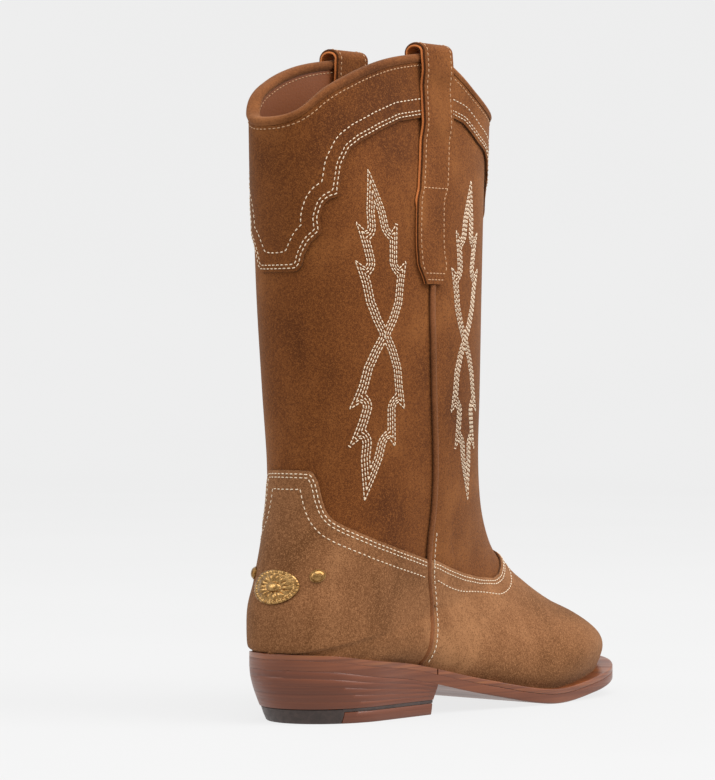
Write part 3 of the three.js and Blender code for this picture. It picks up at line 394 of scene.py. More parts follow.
def front_y(z):
    """The front line's y at a height, through the same stations' front points."""
    return smooth(-STATIONS[:9, 4], STATIONS[:9, 3], -np.asarray(z, float))[..., 0]


def station_on_line(c, height_at, low=-0.9, high=5.0):
    """The station where a line of constant girth share meets a side view line z = height(y)."""
    c = np.asarray(c, float)
    low, high = np.full(c.shape, low), np.full(c.shape, high)
    for _ in range(36):
        s = (low + high) / 2
        r = section(s)
        v, _x = arc_point(r, girth_turn(s, np.minimum(np.abs(c), 1)))
        y = r[..., 0] + v * (r[..., 2] - r[..., 0])
        z = r[..., 1] + v * (r[..., 3] - r[..., 1])
        above = z > height_at(y)
        low, high = np.where(above, s, low), np.where(above, high, s)
    return (low + high) / 2


def collar_height(y):
    """The top line's height, through its points."""
    return smooth(COLLAR_LINE[:, 0], COLLAR_LINE[:, 1], y)[..., 0]


seam_z = np.linspace(24, 345, 500)
seam_s, seam_c = on_form(seam_y(seam_z), seam_z)
seam_order = np.argsort(seam_s)
seam_s, seam_c = seam_s[seam_order], seam_c[seam_order]


def seam_share(s):
    """Girth share of the side seam at a station."""
    return np.interp(s, seam_s, seam_c)


# ---- Meshes ----
def grid_faces(rows, columns, start=0, closed=False):
    """Quads between neighbouring rows and columns of a grid of points numbered row by row."""
    i = np.arange(rows - 1)[:, None]
    j = np.arange(columns if closed else columns - 1)[None, :]
    k = (j + 1) % columns
    low, high = i * columns, (i + 1) * columns
    return np.stack([low + j, low + k, high + k, high + j], axis=-1).reshape(-1, 4) + start


def signed_volume(points, faces):
    """Sum over the faces' triangles of a . (b x c): positive where the faces point out."""
    a, b, c, d = (points[faces[:, k]] for k in range(4))
    return np.sum(a * np.cross(b, c)) + np.sum(a * np.cross(c, d))


def make_piece(name, points, faces, finish, slot, stands_for=(), raw=None, corner=38, weld=True):
    """One mesh object from points in millimetres and quads; a quad with two equal corners is a
    triangle. The faces are turned round if their signed volume is negative. raw is 1 on cut edges
    and flesh sides."""
    points = np.asarray(points, float).reshape(-1, 3)
    faces = np.asarray(faces, int)
    if signed_volume(points, faces) < 0:
        faces = faces[:, ::-1]
    mesh = bpy.data.meshes.new(name)
    triangles = faces[:, 3] == faces[:, 2]
    polygons = faces[~triangles].tolist() + faces[triangles][:, :3].tolist()
    mesh.from_pydata((points * MM).tolist(), [], polygons)
    if raw is not None:
        attribute = mesh.attributes.new("raw", "FLOAT", "POINT")
        attribute.data.foreach_set("value", np.asarray(raw, float).ravel())
    if weld:
        work = bmesh.new()
        work.from_mesh(mesh)
        bmesh.ops.remove_doubles(work, verts=work.verts, dist=2e-6)
        work.to_mesh(mesh)
        work.free()
    mesh.polygons.foreach_set("use_smooth", np.ones(len(mesh.polygons), bool))
    mesh.set_sharp_from_angle(angle=math.radians(corner))
    mesh.materials.append(finish)
    piece = bpy.data.objects.new(name, mesh)
    scene.collection.objects.link(piece)
    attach(piece, "root")
    if stands_for:
        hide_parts(*stands_for)
    return piece


def border(rows, columns):
    """Numbers of a grid's border points in order round it, and of the point inside each."""
    grid = np.arange(rows * columns).reshape(rows, columns)
    out = np.concatenate([grid[0, :-1], grid[:-1, -1], grid[-1, :0:-1], grid[:0:-1, 0]])
    inner = np.concatenate([grid[1, :-1], grid[:-1, -2], grid[-2, :0:-1], grid[:0:-1, 1]])
    return out, inner


EDGE_SHARES = np.array([0.12, 0.35, 0.65, 0.88])
EDGE_BULGE = 0.12
HEM = 1.0


def leather(name, s, c, out, thick, finish, slot, stands_for, hem=0.0):
    """A sheet of leather over a patch of the form: the patch lifted to its outer and inner
    distances, joined by a cut edge that bulges as a half sine of its depth. A hem takes the points
    on the feather line further down, to the welt."""
    rows, columns = s.shape
    direction = normals(s, c).reshape(-1, 3)
    face = surface(s, c).reshape(-1, 3)
    feather = (np.abs(c) < 1e-5) | (c > 2 - 1e-5) | (s > TOE_TIP - 1e-6)
    face[:, 2] -= hem * (feather & (s >= SOLE_START - 1e-6)).ravel()
    direction[(s > TOE_TIP - 1e-6).ravel()] = (0, 1, 0)
    outside = face + np.asarray(out).reshape(-1, 1) * direction
    inside = outside - np.asarray(thick).reshape(-1, 1) * direction
    edge, behind = border(rows, columns)
    away = unit(outside[edge] - outside[behind])
    rings = [outside[edge] + (inside[edge] - outside[edge]) * share
             + away * EDGE_BULGE * math.sin(math.pi * share) for share in EDGE_SHARES]
    count = rows * columns
    points = np.vstack([outside, inside] + rings)
    loops = [edge] + [2 * count + k * len(edge) + np.arange(len(edge)) for k in range(len(rings))]
    loops.append(count + edge)
    faces = [grid_faces(rows, columns), grid_faces(rows, columns, count)[:, ::-1]]
    for upper, lower in zip(loops[:-1], loops[1:]):
        faces.append(np.stack([np.roll(upper, -1), upper, lower, np.roll(lower, -1)], axis=-1))
    raw = np.concatenate([np.zeros(count), np.ones(count), np.ones(len(edge) * len(rings))])
    return make_piece(name, points, np.vstack(faces), finish, slot, stands_for, raw)


def sweep(rings, ends="open"):
    """Quads along a row of equal closed rings; the ends are closed with fans, or the last ring
    joins the first."""
    rings = np.asarray(rings, float)
    count, sides = rings.shape[:2]
    points = rings.reshape(-1, 3)
    faces = [grid_faces(count, sides, closed=True)]
    if ends == "round":
        last = (count - 1) * sides + np.arange(sides)
        first = np.arange(sides)
        faces.append(np.stack([last, np.roll(last, -1), np.roll(first, -1), first], axis=-1))
    if ends == "fans":
        middles = np.stack([rings[0].mean(axis=0), rings[-1].mean(axis=0)])
        points = np.vstack([points, middles])
        first = np.arange(sides)
        last = (count - 1) * sides + first
        hub = np.full(sides, count * sides)
        faces.append(np.stack([np.roll(first, -1), first, hub, hub], axis=-1))
        faces.append(np.stack([last, np.roll(last, -1), hub + 1, hub + 1], axis=-1))
    return points, np.vstack(faces)


# ---- Finishes ----
class Wire:
    """A value inside a finish. Arithmetic on it adds the finish's Math nodes."""

    def __init__(self, finish, socket):
        self.finish, self.socket = finish, socket

    def worked(self, operation, first, second):
        return self.finish.add("ShaderNodeMath", {"operation": operation}, {0: first, 1: second})

    def __add__(self, other):
        return self.worked("ADD", self, other)

    def __radd__(self, other):
        return self.worked("ADD", other, self)

    def __mul__(self, other):
        return self.worked("MULTIPLY", self, other)

    def __rmul__(self, other):
        return self.worked("MULTIPLY", other, self)


class Finish:
    """A material whose shader is written as expressions on wires."""

    def __init__(self, name, **fixed):
        self.material = bpy.data.materials.new(name)
        self.material.use_nodes = True
        self.tree = self.material.node_tree
        self.shader = self.tree.nodes["Principled BSDF"]
        for socket, value in fixed.items():
            self.shader.inputs[socket.replace("_", " ")].default_value = value
        self.place = self.add("ShaderNodeTexCoord", out="Object")

    def add(self, kind, settings=None, inputs=None, out=0):
        """Adds a node: its settings first, then its sockets."""
        node = self.tree.nodes.new(kind)
        for key, value in (settings or {}).items():
            setattr(node, key, value)
        for key, value in (inputs or {}).items():
            if isinstance(value, Wire):
                self.tree.links.new(value.socket, node.inputs[key])
            else:
                node.inputs[key].default_value = value
        return Wire(self, node.outputs[out])

    def noise(self, scale, detail=3.0, rough=0.55, bend=0.0, where=None):
        inputs = {"Vector": where or self.place, "Scale": scale, "Detail": detail,
                  "Roughness": rough, "Distortion": bend}
        return self.add("ShaderNodeTexNoise", None, inputs)

    def stretched(self, scale, turn=(0, 0, 0)):
        return self.add("ShaderNodeMapping", None,
                        {"Vector": self.place, "Scale": scale, "Rotation": turn})

    def ease(self, value, low, high, bottom=0.0, top=1.0):
        limits = {"From Min": low, "From Max": high, "To Min": bottom, "To Max": top}
        return self.add("ShaderNodeMapRange", {"interpolation_type": "SMOOTHSTEP"},
                        {"Value": value, **limits})

    def mix(self, share, first, second):
        return self.add("ShaderNodeMix", {"data_type": "RGBA"},
                        {0: share, 6: first, 7: second}, out=2)

    def attribute(self, name):
        return self.add("ShaderNodeAttribute", {"attribute_name": name}, out="Fac")

    def bump(self, height, strength, distance):
        return self.add("ShaderNodeBump", None,
                        {"Height": height, "Strength": strength, "Distance": distance})

    def wear(self, colour, roughness=None, normal=None, coat=None):
        """Links what changes over the surface to the shader."""
        for socket, value in (("Base Color", colour), ("Roughness", roughness), ("Normal", normal),
                              ("Coat Weight", coat)):
            if value is not None:
                self.tree.links.new(value.socket, self.shader.inputs[socket])
        return self.material


def tint(code):
    """A colour from its display code, made linear by the display's curve."""
    parts = [int(code[k:k + 2], 16) / 255 for k in (0, 2, 4)]
    linear = [p / 12.92 if p <= 0.04045 else ((p + 0.055) / 1.055) ** 2.4 for p in parts]
    return tuple(linear) + (1.0,)


def tints(codes):
    """A finish's colours from their codes in a row."""
    return [tint(code) for code in codes.split()]


def suede(name, codes, strength=1.0):
    """Brushed suede: wide soft nap patches and short brush strokes between three tones, a fine
    grain that speckles the tone and lifts the surface, and a plainer cut edge."""
    look = Finish(name, Sheen_Weight=0.16, Sheen_Roughness=0.4, Specular_IOR_Level=0.15)
    look.shader.inputs["Sheen Tint"].default_value = tint("e6c4a4")
    dark, middle, light, cut = tints(codes)
    patches = look.noise(15, 2.5, 0.5, 0.7)
    strokes = look.noise(46, 3, 0.55, 0.6, look.stretched((1.3, 1.3, 0.7), (0.5, 0.3, 0.2)))
    grain = look.noise(1700, 2, 0.6)
    fleck = look.noise(700, 2, 0.6)
    nap = patches * 0.7 + strokes * 0.3
    tone = look.mix(look.ease(nap, 0.34, 0.52), dark, middle)
    tone = look.mix(look.ease(nap, 0.5, 0.68), tone, light)
    speckle = grain * 0.68 + fleck * 0.32
    tone = look.mix(look.ease(speckle, 0.48, 0.63, 0.0, 0.72 * strength), tone, light)
    tone = look.mix(look.ease(speckle, 0.52, 0.37, 0.0, 0.72 * strength), tone, dark)
    tone = look.mix(look.attribute("raw") * 0.85, tone, cut)
    rough = look.ease(nap, 0.3, 0.7, 0.96, 0.86)
    relief = speckle * 0.75 + strokes * 0.35
    return look.wear(tone, rough, look.bump(relief, 0.5, 0.0006))


def smooth_leather(name, codes, rough):
    """Smooth leather: cells of fine pebble grain in relief, soft darker wear and a cut edge."""
    look = Finish(name, Specular_IOR_Level=0.4)
    base, deep, edge = tints(codes)
    cells = look.add("ShaderNodeTexVoronoi", {"feature": "SMOOTH_F1"},
                     {"Vector": look.place, "Scale": 900, "Smoothness": 0.6})
    patches = look.noise(30, 4, 0.6, 0.5)
    tone = look.mix(look.ease(patches, 0.35, 0.65), deep, base)
    tone = look.mix(look.ease(cells, 0.2, 0.75, 0.0, 0.25), tone, deep)
    tone = look.mix(look.attribute("raw"), tone, edge)
    return look.wear(tone, look.ease(patches, 0.3, 0.7, rough + 0.08, rough - 0.06),
                     look.bump(cells, 0.18, 0.0003))


def layered_leather(name, codes, rough, layers, coat=0.18):
    """Burnished sole leather: thin level layers from noise squeezed upward, slow stains, and a
    worn paler film where the stain is thin."""
    look = Finish(name, Specular_IOR_Level=0.4, Coat_Roughness=0.28)
    base, deep, pale = tints(codes)
    lines = look.noise(1.0, 3, 0.7, 0.15, look.stretched((4, 4, layers)))
    fibres = look.noise(1.0, 4, 0.65, 0.3, look.stretched((22, 22, layers * 2.6)))
    stains = look.noise(26, 3, 0.5, 0.6)
    tone = look.mix(look.ease(lines, 0.36, 0.62), deep, base)
    tone = look.mix(look.ease(fibres, 0.5, 0.72, 0.0, 0.45), tone, pale)
    tone = look.mix(look.ease(stains, 0.45, 0.75, 0.0, 0.4), tone, deep)
    relief = lines * 0.7 + fibres * 0.3
    return look.wear(tone, look.ease(fibres, 0.3, 0.7, rough + 0.1, rough - 0.04),
                     look.bump(relief, 0.03, 0.0002), look.ease(stains, 0.3, 0.7, coat, coat * 0.7))


def pressed(name, codes, rough, size, metal=0.0, strength=0.3):
    """A pressed, moulded or cast finish: grain in two sizes between two tones."""
    look = Finish(name, Metallic=metal)
    base, deep = tints(codes)
    coarse = look.noise(size, 4, 0.6, 0.4)
    fine = look.noise(size * 6, 3, 0.6)
    tone = look.mix(look.ease(coarse * 0.6 + fine * 0.4, 0.36, 0.64), deep, base)
    return look.wear(tone, look.ease(coarse, 0.3, 0.7, rough + 0.08, rough - 0.06),
                     look.bump(coarse * 0.5 + fine * 0.5, strength, 0.0003))


def spun_thread(name, codes):
    """Waxed thread: slanting twist bands from a wave on the place, with painted shade in the
    grooves between the plies.
    """
    look = Finish(name, Specular_IOR_Level=0.35, Roughness=0.6)
    base, deep = tints(codes)
    twist = look.add("ShaderNodeTexWave", {"wave_type": "BANDS", "bands_direction": "DIAGONAL"},
                     {"Vector": look.place, "Scale": 520, "Distortion": 1.5})
    soil = look.noise(180, 3, 0.6)
    # Painted shade: the twist's low grooves are mixed towards the deep tone, which the random soil
    # below also uses.
    tone = look.mix(look.ease(twist, 0.2, 0.7, 0.45, 0.0), base, deep)
    tone = look.mix(look.ease(soil, 0.5, 0.75, 0.0, 0.35), tone, deep)
    return look.wear(tone, None, look.bump(twist, 0.3, 0.0002))


SUEDE = suede("suede_shaft", "47230a 603412 794820 3a200f")
# The counter and vamp take a paler copy of the shaft's suede: partly the foot leather's own nap
# tone, partly painted light standing for the floor's bounce from below.
SUEDE_FOOT_NAP_AND_PAINTED_LIGHT = suede("suede_foot_nap_and_painted_light", "57351a 724a2c 8f6340 4a2a14")
SUEDE_YOKE = suede("suede_yoke", "45220a 5e3311 774720 3c220f")
BINDING = suede("suede_binding", "4a270f 64391a 7c4c28 41240f", 0.7)
PIPING = suede("suede_piping", "4a2912 633a1e 79492a 3c220f", 0.7)
STRAP_EDGE = smooth_leather("strap_flesh_side", "b5662a 914c1b ba6c30", 0.7)
LINING = smooth_leather("calf_lining", "673417 4b230f 75401f", 0.5)
SOLE = layered_leather("burnished_sole_edge", "6c3a20 5a2d17 7c4629", 0.36, 300)
STACK = layered_leather("burnished_stack", "67341b 5a2b14 723d22", 0.38, 420)
WELT_LOOK = layered_leather("welt_edge", "7b4425 5a2d16 98602f", 0.36, 400, 0.35)
RUBBER = pressed("heel_rubber", "3c2c26 2c201b", 0.5, 260, strength=0.2)
BRASS = pressed("cast_brass", "bd9660 6e4c26", 0.3, 420, 1.0, 0.12)
BOARD = pressed("fibre_board", "b09470 8c7250", 0.85, 300)
CORK = pressed("ground_cork", "a87f55 6d4b2c", 0.9, 240, strength=0.6)
STEEL = pressed("spring_steel", "8d9094 6b6e72", 0.35, 500, 1.0, 0.15)
THREAD = spun_thread("cream_thread", "d8c6ad 9a7d5f")
THREAD_TAN = spun_thread("tan_thread", "b58d68 7b5535")

NODE_LOOKS = {
    "heel_counter": BOARD, "vamp_interlining": BOARD, "toe_puff": BOARD, "insole": BOARD,
    "heel_lining": LINING, "vamp_lining": LINING, "heel_pad": LINING,
    "cork_filler": CORK, "shank": STEEL,
}
for node_name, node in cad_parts.items():
    finish = NODE_LOOKS.get(node_name, BRASS if node_name.startswith("heel_nail") else SOLE)
    node.data.materials.clear()
    node.data.materials.append(finish)

# ---- Upper ----
SHARES = np.linspace(0, 1, 401)
collar_stations = station_on_line(SHARES, collar_height)


def table_of(corners):
    """Stations where the lines of constant girth share meet a side view line through corners."""
    line = np.asarray(corners, float)
    return station_on_line(SHARES, lambda y: np.interp(y, line[:, 0], line[:, 1]), 0.5, 10.5)


def read_table(table, c):
    """A table's station at a girth share, the inner side's share taken as the outer side's."""
    wrapped = np.where(c > 1, 2 - c, np.abs(c))
    return np.interp(wrapped, SHARES, table)


back_low = table_of([(-80, 112), (-12, 88), (80, 72)])
front_low = table_of([(0, 70), (56, 66.3), (66, 63.2), (82, 59.2), (99, 56.3), (117, 54.7),
                      (137, 58), (150, 69), (161, 90)])
lining_back_low = table_of([(-80, 100), (-3.9, 99.1), (6.7, 94.7), (20.7, 90.3), (44.4, 84.1),
                            (60, 81.5), (100, 78)])
lining_front_low = table_of([(0, 84), (46, 84), (100, 78), (130, 84), (150, 104), (170, 120)])
SEAM_GAP = 0.0016


def below_collar(part, bottom, rows, columns):
    """A patch from the top line to a table of stations, between the side seams. Its girth share
    and station depend on each other, so they are found by turns; rows are spaced by length."""
    f = np.linspace(-1, 1, columns)[None, :]
    g = np.linspace(0, 1, rows)[:, None]
    s = np.full((rows, columns), 3.0)
    for _ in range(8):
        seam = seam_share(s)
        c = f * (seam - SEAM_GAP) if part == "back" else 1 + f * (1 - seam - SEAM_GAP)
        high, low = length_of(read_table(collar_stations, c)), length_of(read_table(bottom, c))
        s = station_of(high + g * (low - high))
    return s, c


PANEL = (PANEL_OUT, PANEL_THICK, SUEDE, "suede_brown")
INSIDE = (LINING_OUT, LINING_THICK, LINING, "lining_leather")
for name, part, bottom, rows, columns, layer, stands_for in (
        ("shaft_back", "back", back_low, 150, 104, PANEL, "shaft_back_panel"),
        ("shaft_front", "front", front_low, 165, 96, PANEL, "shaft_front_panel"),
        ("shaft_lining_back", "back", lining_back_low, 100, 70, INSIDE, "lining_back"),
        ("shaft_lining_front", "front", lining_front_low, 110, 64, INSIDE, "lining_front")):
    s, c = below_collar(part, bottom, rows, columns)
    leather(name, s, c, *layer, [stands_for])


def skived(from_edge):
    """An overlay's outer distance and thickness, thinned over the last 2.2 mm to its edge."""
    thinned = 0.45 * (1 - smooth_step(0, 2.2, from_edge))
    return OVERLAY_OUT - thinned, OVERLAY_THICK - thinned


def mirrored(s, c):
    """A half patch on the outer side joined, along its first column, to its twin on the inner."""
    inner = -np.maximum(c, INNER_ZERO)
    return np.hstack([s[:, :0:-1], s]), np.hstack([inner[:, :0:-1], c])


YOKE_ROWS = 60


def yoke_half(edge, end_y, sign, top_share):
    """Half a yoke: straight lines, in girth share and length, from its scalloped edge to the top
    line. Its edge is given as distances from the shaft's end and heights."""
    line = np.column_stack([end_y(edge[:, 1]) + sign * edge[:, 0], edge[:, 1]])
    line = along_line(line, 0.5, 0.9)
    line[0, 0] = end_y(line[0, 1])
    line = line[sign * (seam_y(line[:, 1]) - line[:, 0]) > 0.15]
    low_s, low_c = on_form(line[:, 0], line[:, 1])
    low_c[0] = 0 if sign > 0 else 1
    f = np.linspace(0, 1, len(low_c))
    high_c = f * top_share if sign > 0 else 1 - f * (1 - top_share)
    high_s = read_table(collar_stations, high_c)
    g = np.linspace(0, 1, YOKE_ROWS)[:, None]
    length = length_of(high_s) + g * (length_of(low_s) - length_of(high_s))
    return station_of(length), high_c + g * (low_c - high_c), line


TOP_SEAM = float(seam_share(np.array(1.0)))
yoke_s, yoke_c, back_yoke_line = yoke_half(BACK_YOKE_EDGE, back_y, 1, TOP_SEAM - 0.001)
s, c = mirrored(yoke_s, yoke_c)
out, thick = skived(length_of(s[-1:]) - length_of(s))
leather("yoke_back_overlay", s, c, out, thick, SUEDE_YOKE, "suede_dark", ["yoke_back"])
yoke_s, yoke_c, front_yoke_line = yoke_half(FRONT_YOKE_EDGE, front_y, -1, TOP_SEAM + 0.001)
s = np.hstack([yoke_s[:, :0:-1], yoke_s])
c = np.hstack([2 - yoke_c[:, :0:-1], yoke_c])
out, thick = skived(length_of(s[-1:]) - length_of(s))
leather("yoke_front_overlay", s, c, out, thick, SUEDE_YOKE, "suede_dark", ["yoke_front"])

# The feather line's heights, for all that lies under the foot.
feather_s = np.linspace(SOLE_START, TOE_END, 400)
feather_outer = surface(feather_s, 0)
feather_inner = surface(feather_s, -INNER_ZERO)


def feather_height(y):
    """Height of the feather line at a place along the boot."""
    return np.interp(y, feather_outer[:, 1], feather_outer[:, 2])


def seam_foot(shift):
    """Height at which the side seam, moved along by shift, meets the feather line."""
    z = 28.0
    for _ in range(20):
        z = float(feather_height(seam_y(np.array(z)) + shift))
    return z


def seam_run(shift, top, count):
    """Stations and girth shares down the side seam, moved along by shift, to the feather line."""
    z = np.linspace(top, seam_foot(shift), count)
    s, c = on_form(seam_y(z) + shift, z)
    c[-1] = 0
    return s, c


def patch_between(top, bottom, left, right):
    """A patch blended from its four border lines: the two straight blends added, less the blend
    of the corners. Lines are (length, share) arrays."""
    f = np.linspace(0, 1, top.shape[0])[None, :, None]
    g = np.linspace(0, 1, left.shape[0])[:, None, None]
    across = (1 - g) * top[None] + g * bottom[None]
    down = (1 - f) * left[:, None] + f * right[:, None]
    corners = ((1 - f) * (1 - g) * top[0] + f * (1 - g) * top[-1]
               + (1 - f) * g * bottom[0] + f * g * bottom[-1])
    return across + down - corners


COUNTER_COLUMNS, COUNTER_ROWS = 150, 90
PIPING_TUCK = 1.5
counter_line = along_line(COUNTER_EDGE, 0.5, 2.2)
counter_line[0, 0] = back_y(counter_line[0, 1])
counter_line = counter_line[counter_line[:, 0] < seam_y(counter_line[:, 1]) - PIPING_TUCK]
edge_s, edge_c = on_form(counter_line[:, 0], counter_line[:, 1])
edge_c[0] = 0
even = np.linspace(0, 1, COUNTER_COLUMNS)
edge_f = np.linspace(0, 1, len(edge_s))
top = np.column_stack([length_of(np.interp(even, edge_f, edge_s)), np.interp(even, edge_f, edge_c)])
right_s, right_c = seam_run(-PIPING_TUCK, counter_line[-1, 1], COUNTER_ROWS)
right = np.stack([length_of(right_s), right_c], axis=1)
right[0], foot = top[-1], right[-1, 0]
left = np.zeros((COUNTER_ROWS, 2))
left[:, 0] = np.linspace(top[0, 0], length_of(SOLE_START), COUNTER_ROWS)
bottom = np.zeros((COUNTER_COLUMNS, 2))
bottom[:, 0] = np.linspace(length_of(SOLE_START), foot, COUNTER_COLUMNS)
patch = patch_between(top, bottom, left, right)
s, c = mirrored(station_of(patch[..., 0]), np.clip(patch[..., 1], 0, 1))
out, thick = skived(length_of(s) - length_of(s[:1]))
leather("counter_overlay", s, c, out, thick, SUEDE_FOOT_NAP_AND_PAINTED_LIGHT, "suede_brown", ["counter_cover"], hem=HEM)

vamp_line = along_line(VAMP_EDGE, 0.7, 2.0)
vamp_s, vamp_c = on_form(vamp_line[:, 0], vamp_line[:, 1])
vamp_c[-1] = 1
keep = vamp_line[:, 0] > seam_y(vamp_line[:, 1]) + PIPING_TUCK
seam_up_s, seam_up_c = seam_run(PIPING_TUCK, 79.6, 60)
start_s = np.concatenate([seam_up_s[::-1], vamp_s[keep]])
start_c = np.concatenate([seam_up_c[::-1], vamp_c[keep]])
start_s = np.concatenate([start_s, start_s[-2::-1]])
start_c = np.concatenate([start_c, np.minimum(2 - start_c[-2::-1], 2 - INNER_ZERO)])
g = np.linspace(0, 1, 125)[:, None]
length = length_of(start_s) + g * (length_of(TOE_TIP) - length_of(start_s))
s, c = station_of(length), np.broadcast_to(start_c, length.shape).copy()
out, thick = skived(length - length[:1])
leather("vamp_overlay", s, c, out, thick, SUEDE_FOOT_NAP_AND_PAINTED_LIGHT, "suede_brown", ["vamp"], hem=HEM)


# ---- Collar binding ----
def collar_frame(count):
    """Points of the top line with the outward and upward directions of the leather there."""
    c = np.linspace(0, 2, count, endpoint=False)
    s = read_table(collar_stations, c)
    out = normals(s, c)
    down, _round = slopes(s, c)
    rise = -unit(down - np.sum(down * out, axis=-1, keepdims=True) * out)
    return surface(s, c), out, rise


BINDING_OUTSIDE, BINDING_INSIDE, BINDING_SKIN = 1.95, -5.1, 0.8
BINDING_DROP, BINDING_SPRING, BINDING_TOP = 2.9, -1.4, 1.5


def binding_profile():
    """The binding's closed section as (out, up): an arch of a superellipse on two legs, and the
    same arch one skin smaller, walked back."""
    turn = np.linspace(0, math.pi, 19)
    middle, half = (BINDING_OUTSIDE + BINDING_INSIDE) / 2, (BINDING_OUTSIDE - BINDING_INSIDE) / 2
    high = BINDING_TOP - BINDING_SPRING
    power = 2 / 2.3
    across = np.sign(np.cos(turn)) * np.abs(np.cos(turn)) ** power
    arch = np.stack([across, np.sin(turn) ** power], axis=1)
    arch_out = arch * (half, high) + (middle, BINDING_SPRING)
    arch_in = arch * (half - BINDING_SKIN, high - BINDING_SKIN) + (middle, BINDING_SPRING)
    low = -BINDING_DROP
    right = np.array([(BINDING_OUTSIDE - 0.35, low + 0.8), (BINDING_OUTSIDE - 0.75, low - 0.05),
                      (BINDING_OUTSIDE - BINDING_SKIN - 0.02, low)])
    left = np.array([(BINDING_INSIDE + BINDING_SKIN + 0.02, low),
                     (BINDING_INSIDE + 0.6, low - 0.05), (BINDING_INSIDE + 0.2, low + 0.8)])
    return np.vstack([right[::-1], arch_out, left[::-1], arch_in[::-1]])


points, out, rise = collar_frame(420)
profile = binding_profile()
rings = (points[:, None] + profile[None, :, :1] * out[:, None]
         + profile[None, :, 1:] * rise[:, None])
ring_points, ring_faces = sweep(rings[:, ::-1], "round")
make_piece("collar_binding_roll", ring_points, ring_faces, BINDING, "calf_trim", ["collar_binding"])

# ---- Side piping ----
PIPING_HALF, PIPING_TOP = 1.85, 219.4
for side, word in ((1, "outer"), (-1, "inner")):
    z = np.linspace(PIPING_TOP, seam_foot(0) - 0.8, 230)
    s, c = on_form(seam_y(z), z)
    c = np.maximum(c, 1e-6) * side
    points, out = surface(s, c), normals(s, c)
    run = unit(np.gradient(points, axis=0))
    over = unit(np.cross(out, run))
    turn = np.linspace(0, 2 * math.pi, 18, endpoint=False)
    bulge = np.stack([PIPING_HALF * np.cos(turn), 0.25 + 1.15 * np.sin(turn)], axis=1)
    rings = (points[:, None] + bulge[None, :, :1] * over[:, None]
             + bulge[None, :, 1:] * out[:, None])
    ring_points, ring_faces = sweep(rings, "fans")
    make_piece(f"side_piping_roll_{word}", ring_points, ring_faces, PIPING, "calf_trim",
               [f"side_piping_{word}"])

# ---- Pull straps ----
STRAP_BOTTOM, STRAP_HALF, STRAP_TIP_HALF = 220.0, 11.6, 6.5
STRAIGHT_TOP = crest_high + 0.3
STRAP_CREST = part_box("pull_strap_outer")[1][2] / MM - 2.4
STRAP_INNER_DROP = 40


def strap_half(z):
    """Half width up the strap: eased from its tip to its full width, with a slight waist below the
    cross stitching."""
    wide = STRAP_TIP_HALF + (STRAP_HALF - STRAP_TIP_HALF) * smooth_step(219, 232, z) ** 0.8
    return wide - 0.7 * (1 - smooth_step(262, 272, z)) * smooth_step(228, 236, z)


LEG_ROWS = 110
STRAP_COLUMNS = 13


def strap_path(side, lift, grow):
    """One face of a strap's ply, row by row from its tip over the top and down inside: heights up
    the leg at the seam, a half turn of an ellipse over the top line, and the inner leg."""
    z_up = np.linspace(STRAP_BOTTOM, STRAIGHT_TOP, LEG_ROWS)
    u = np.linspace(-1, 1, STRAP_COLUMNS)
    seated = -0.5 + 1.75 * smooth_step(292, 304, z_up) + 1.75 * smooth_step(320, 331, z_up) + lift
    inside = LINING_IN - 2.0 - lift
    above_tab = smooth_step(257, 263, z_up)
    half = strap_half(z_up) + grow * above_tab - 0.25 * (1 - above_tab) * (grow > 0)

    def leg(z, distance, half):
        drift = 2.0 * (1 - smooth_step(262, 270, z)) * smooth_step(222, 240, z)
        y = (seam_y(z) - drift)[:, None] + half[:, None] * u[None, :]
        zz = np.broadcast_to(z[:, None], y.shape)
        s, c = on_form(y, zz)
        x = np.abs(surface(s, c)[..., 0]) + distance[:, None]
        return np.stack([side * x, y, zz], axis=-1)

    up = leg(z_up, seated, half)
    z_down = np.linspace(STRAIGHT_TOP, STRAIGHT_TOP - STRAP_INNER_DROP, 28)
    down = leg(z_down, np.full(28, inside), np.full(28, half[-1]))
    turn = np.linspace(0, math.pi, 22)[1:-1]
    x0, x1 = up[-1, :, 0], down[0, :, 0]
    crest = STRAP_CREST + lift
    arch_x = ((x0 + x1) / 2)[None] + ((x0 - x1) / 2)[None] * np.cos(turn)[:, None]
    arch_z = STRAIGHT_TOP + (crest - STRAIGHT_TOP) * np.sin(turn)
    arch_z = np.broadcast_to(arch_z[:, None], arch_x.shape)
    arch_y = np.broadcast_to(up[-1, :, 1], arch_x.shape)
    return np.vstack([up, np.stack([arch_x, arch_y, arch_z], axis=-1), down])


def strap_ply(name, side, low_lift, high_lift, finish, slot, stands_for, grow=0.0):
    """A ply between two faces of the strap, its long edges bulged at half its thickness. Above the
    tab it may grow past the other ply, so that its raw edge shows."""
    low = strap_path(side, low_lift, grow)
    high = strap_path(side, high_lift, grow)
    middle = (low + high) / 2
    out_first = unit(middle[:, :1] - middle[:, 1:2]) * 0.2 + middle[:, :1]
    out_last = unit(middle[:, -1:] - middle[:, -2:-1]) * 0.2 + middle[:, -1:]
    rings = np.concatenate([high, out_last, low[:, ::-1], out_first], axis=1)
    ring_points, ring_faces = sweep(rings, "fans")
    ring_raw = np.concatenate([np.zeros(STRAP_COLUMNS), [1], np.ones(STRAP_COLUMNS), [1]])
    raw = np.concatenate([np.tile(ring_raw, len(low)), [1, 1]])
    make_piece(name, ring_points, ring_faces, finish, slot, stands_for, raw)
    return high


strap_faces = {}
for side, word in ((1, "outer"), (-1, "inner")):
    strap_ply(f"pull_strap_{word}_lower_ply", side, 0.0, 0.9, STRAP_EDGE, "raw_edge",
              [f"pull_strap_{word}_backing"], 0.75)
    strap_faces[side] = strap_ply(f"pull_strap_{word}_upper_ply", side, 0.93, 2.25, SUEDE,
                                  "suede_brown", [f"pull_strap_{word}"])

# ---- Bottom ----
WELT_TOP, WELT_THICK = -1.05, 2.8
OUTSOLE_TOP = WELT_TOP - WELT_THICK - 0.06
OUTSOLE_BOTTOM = -8.9
HEEL_BREAST = 54.0


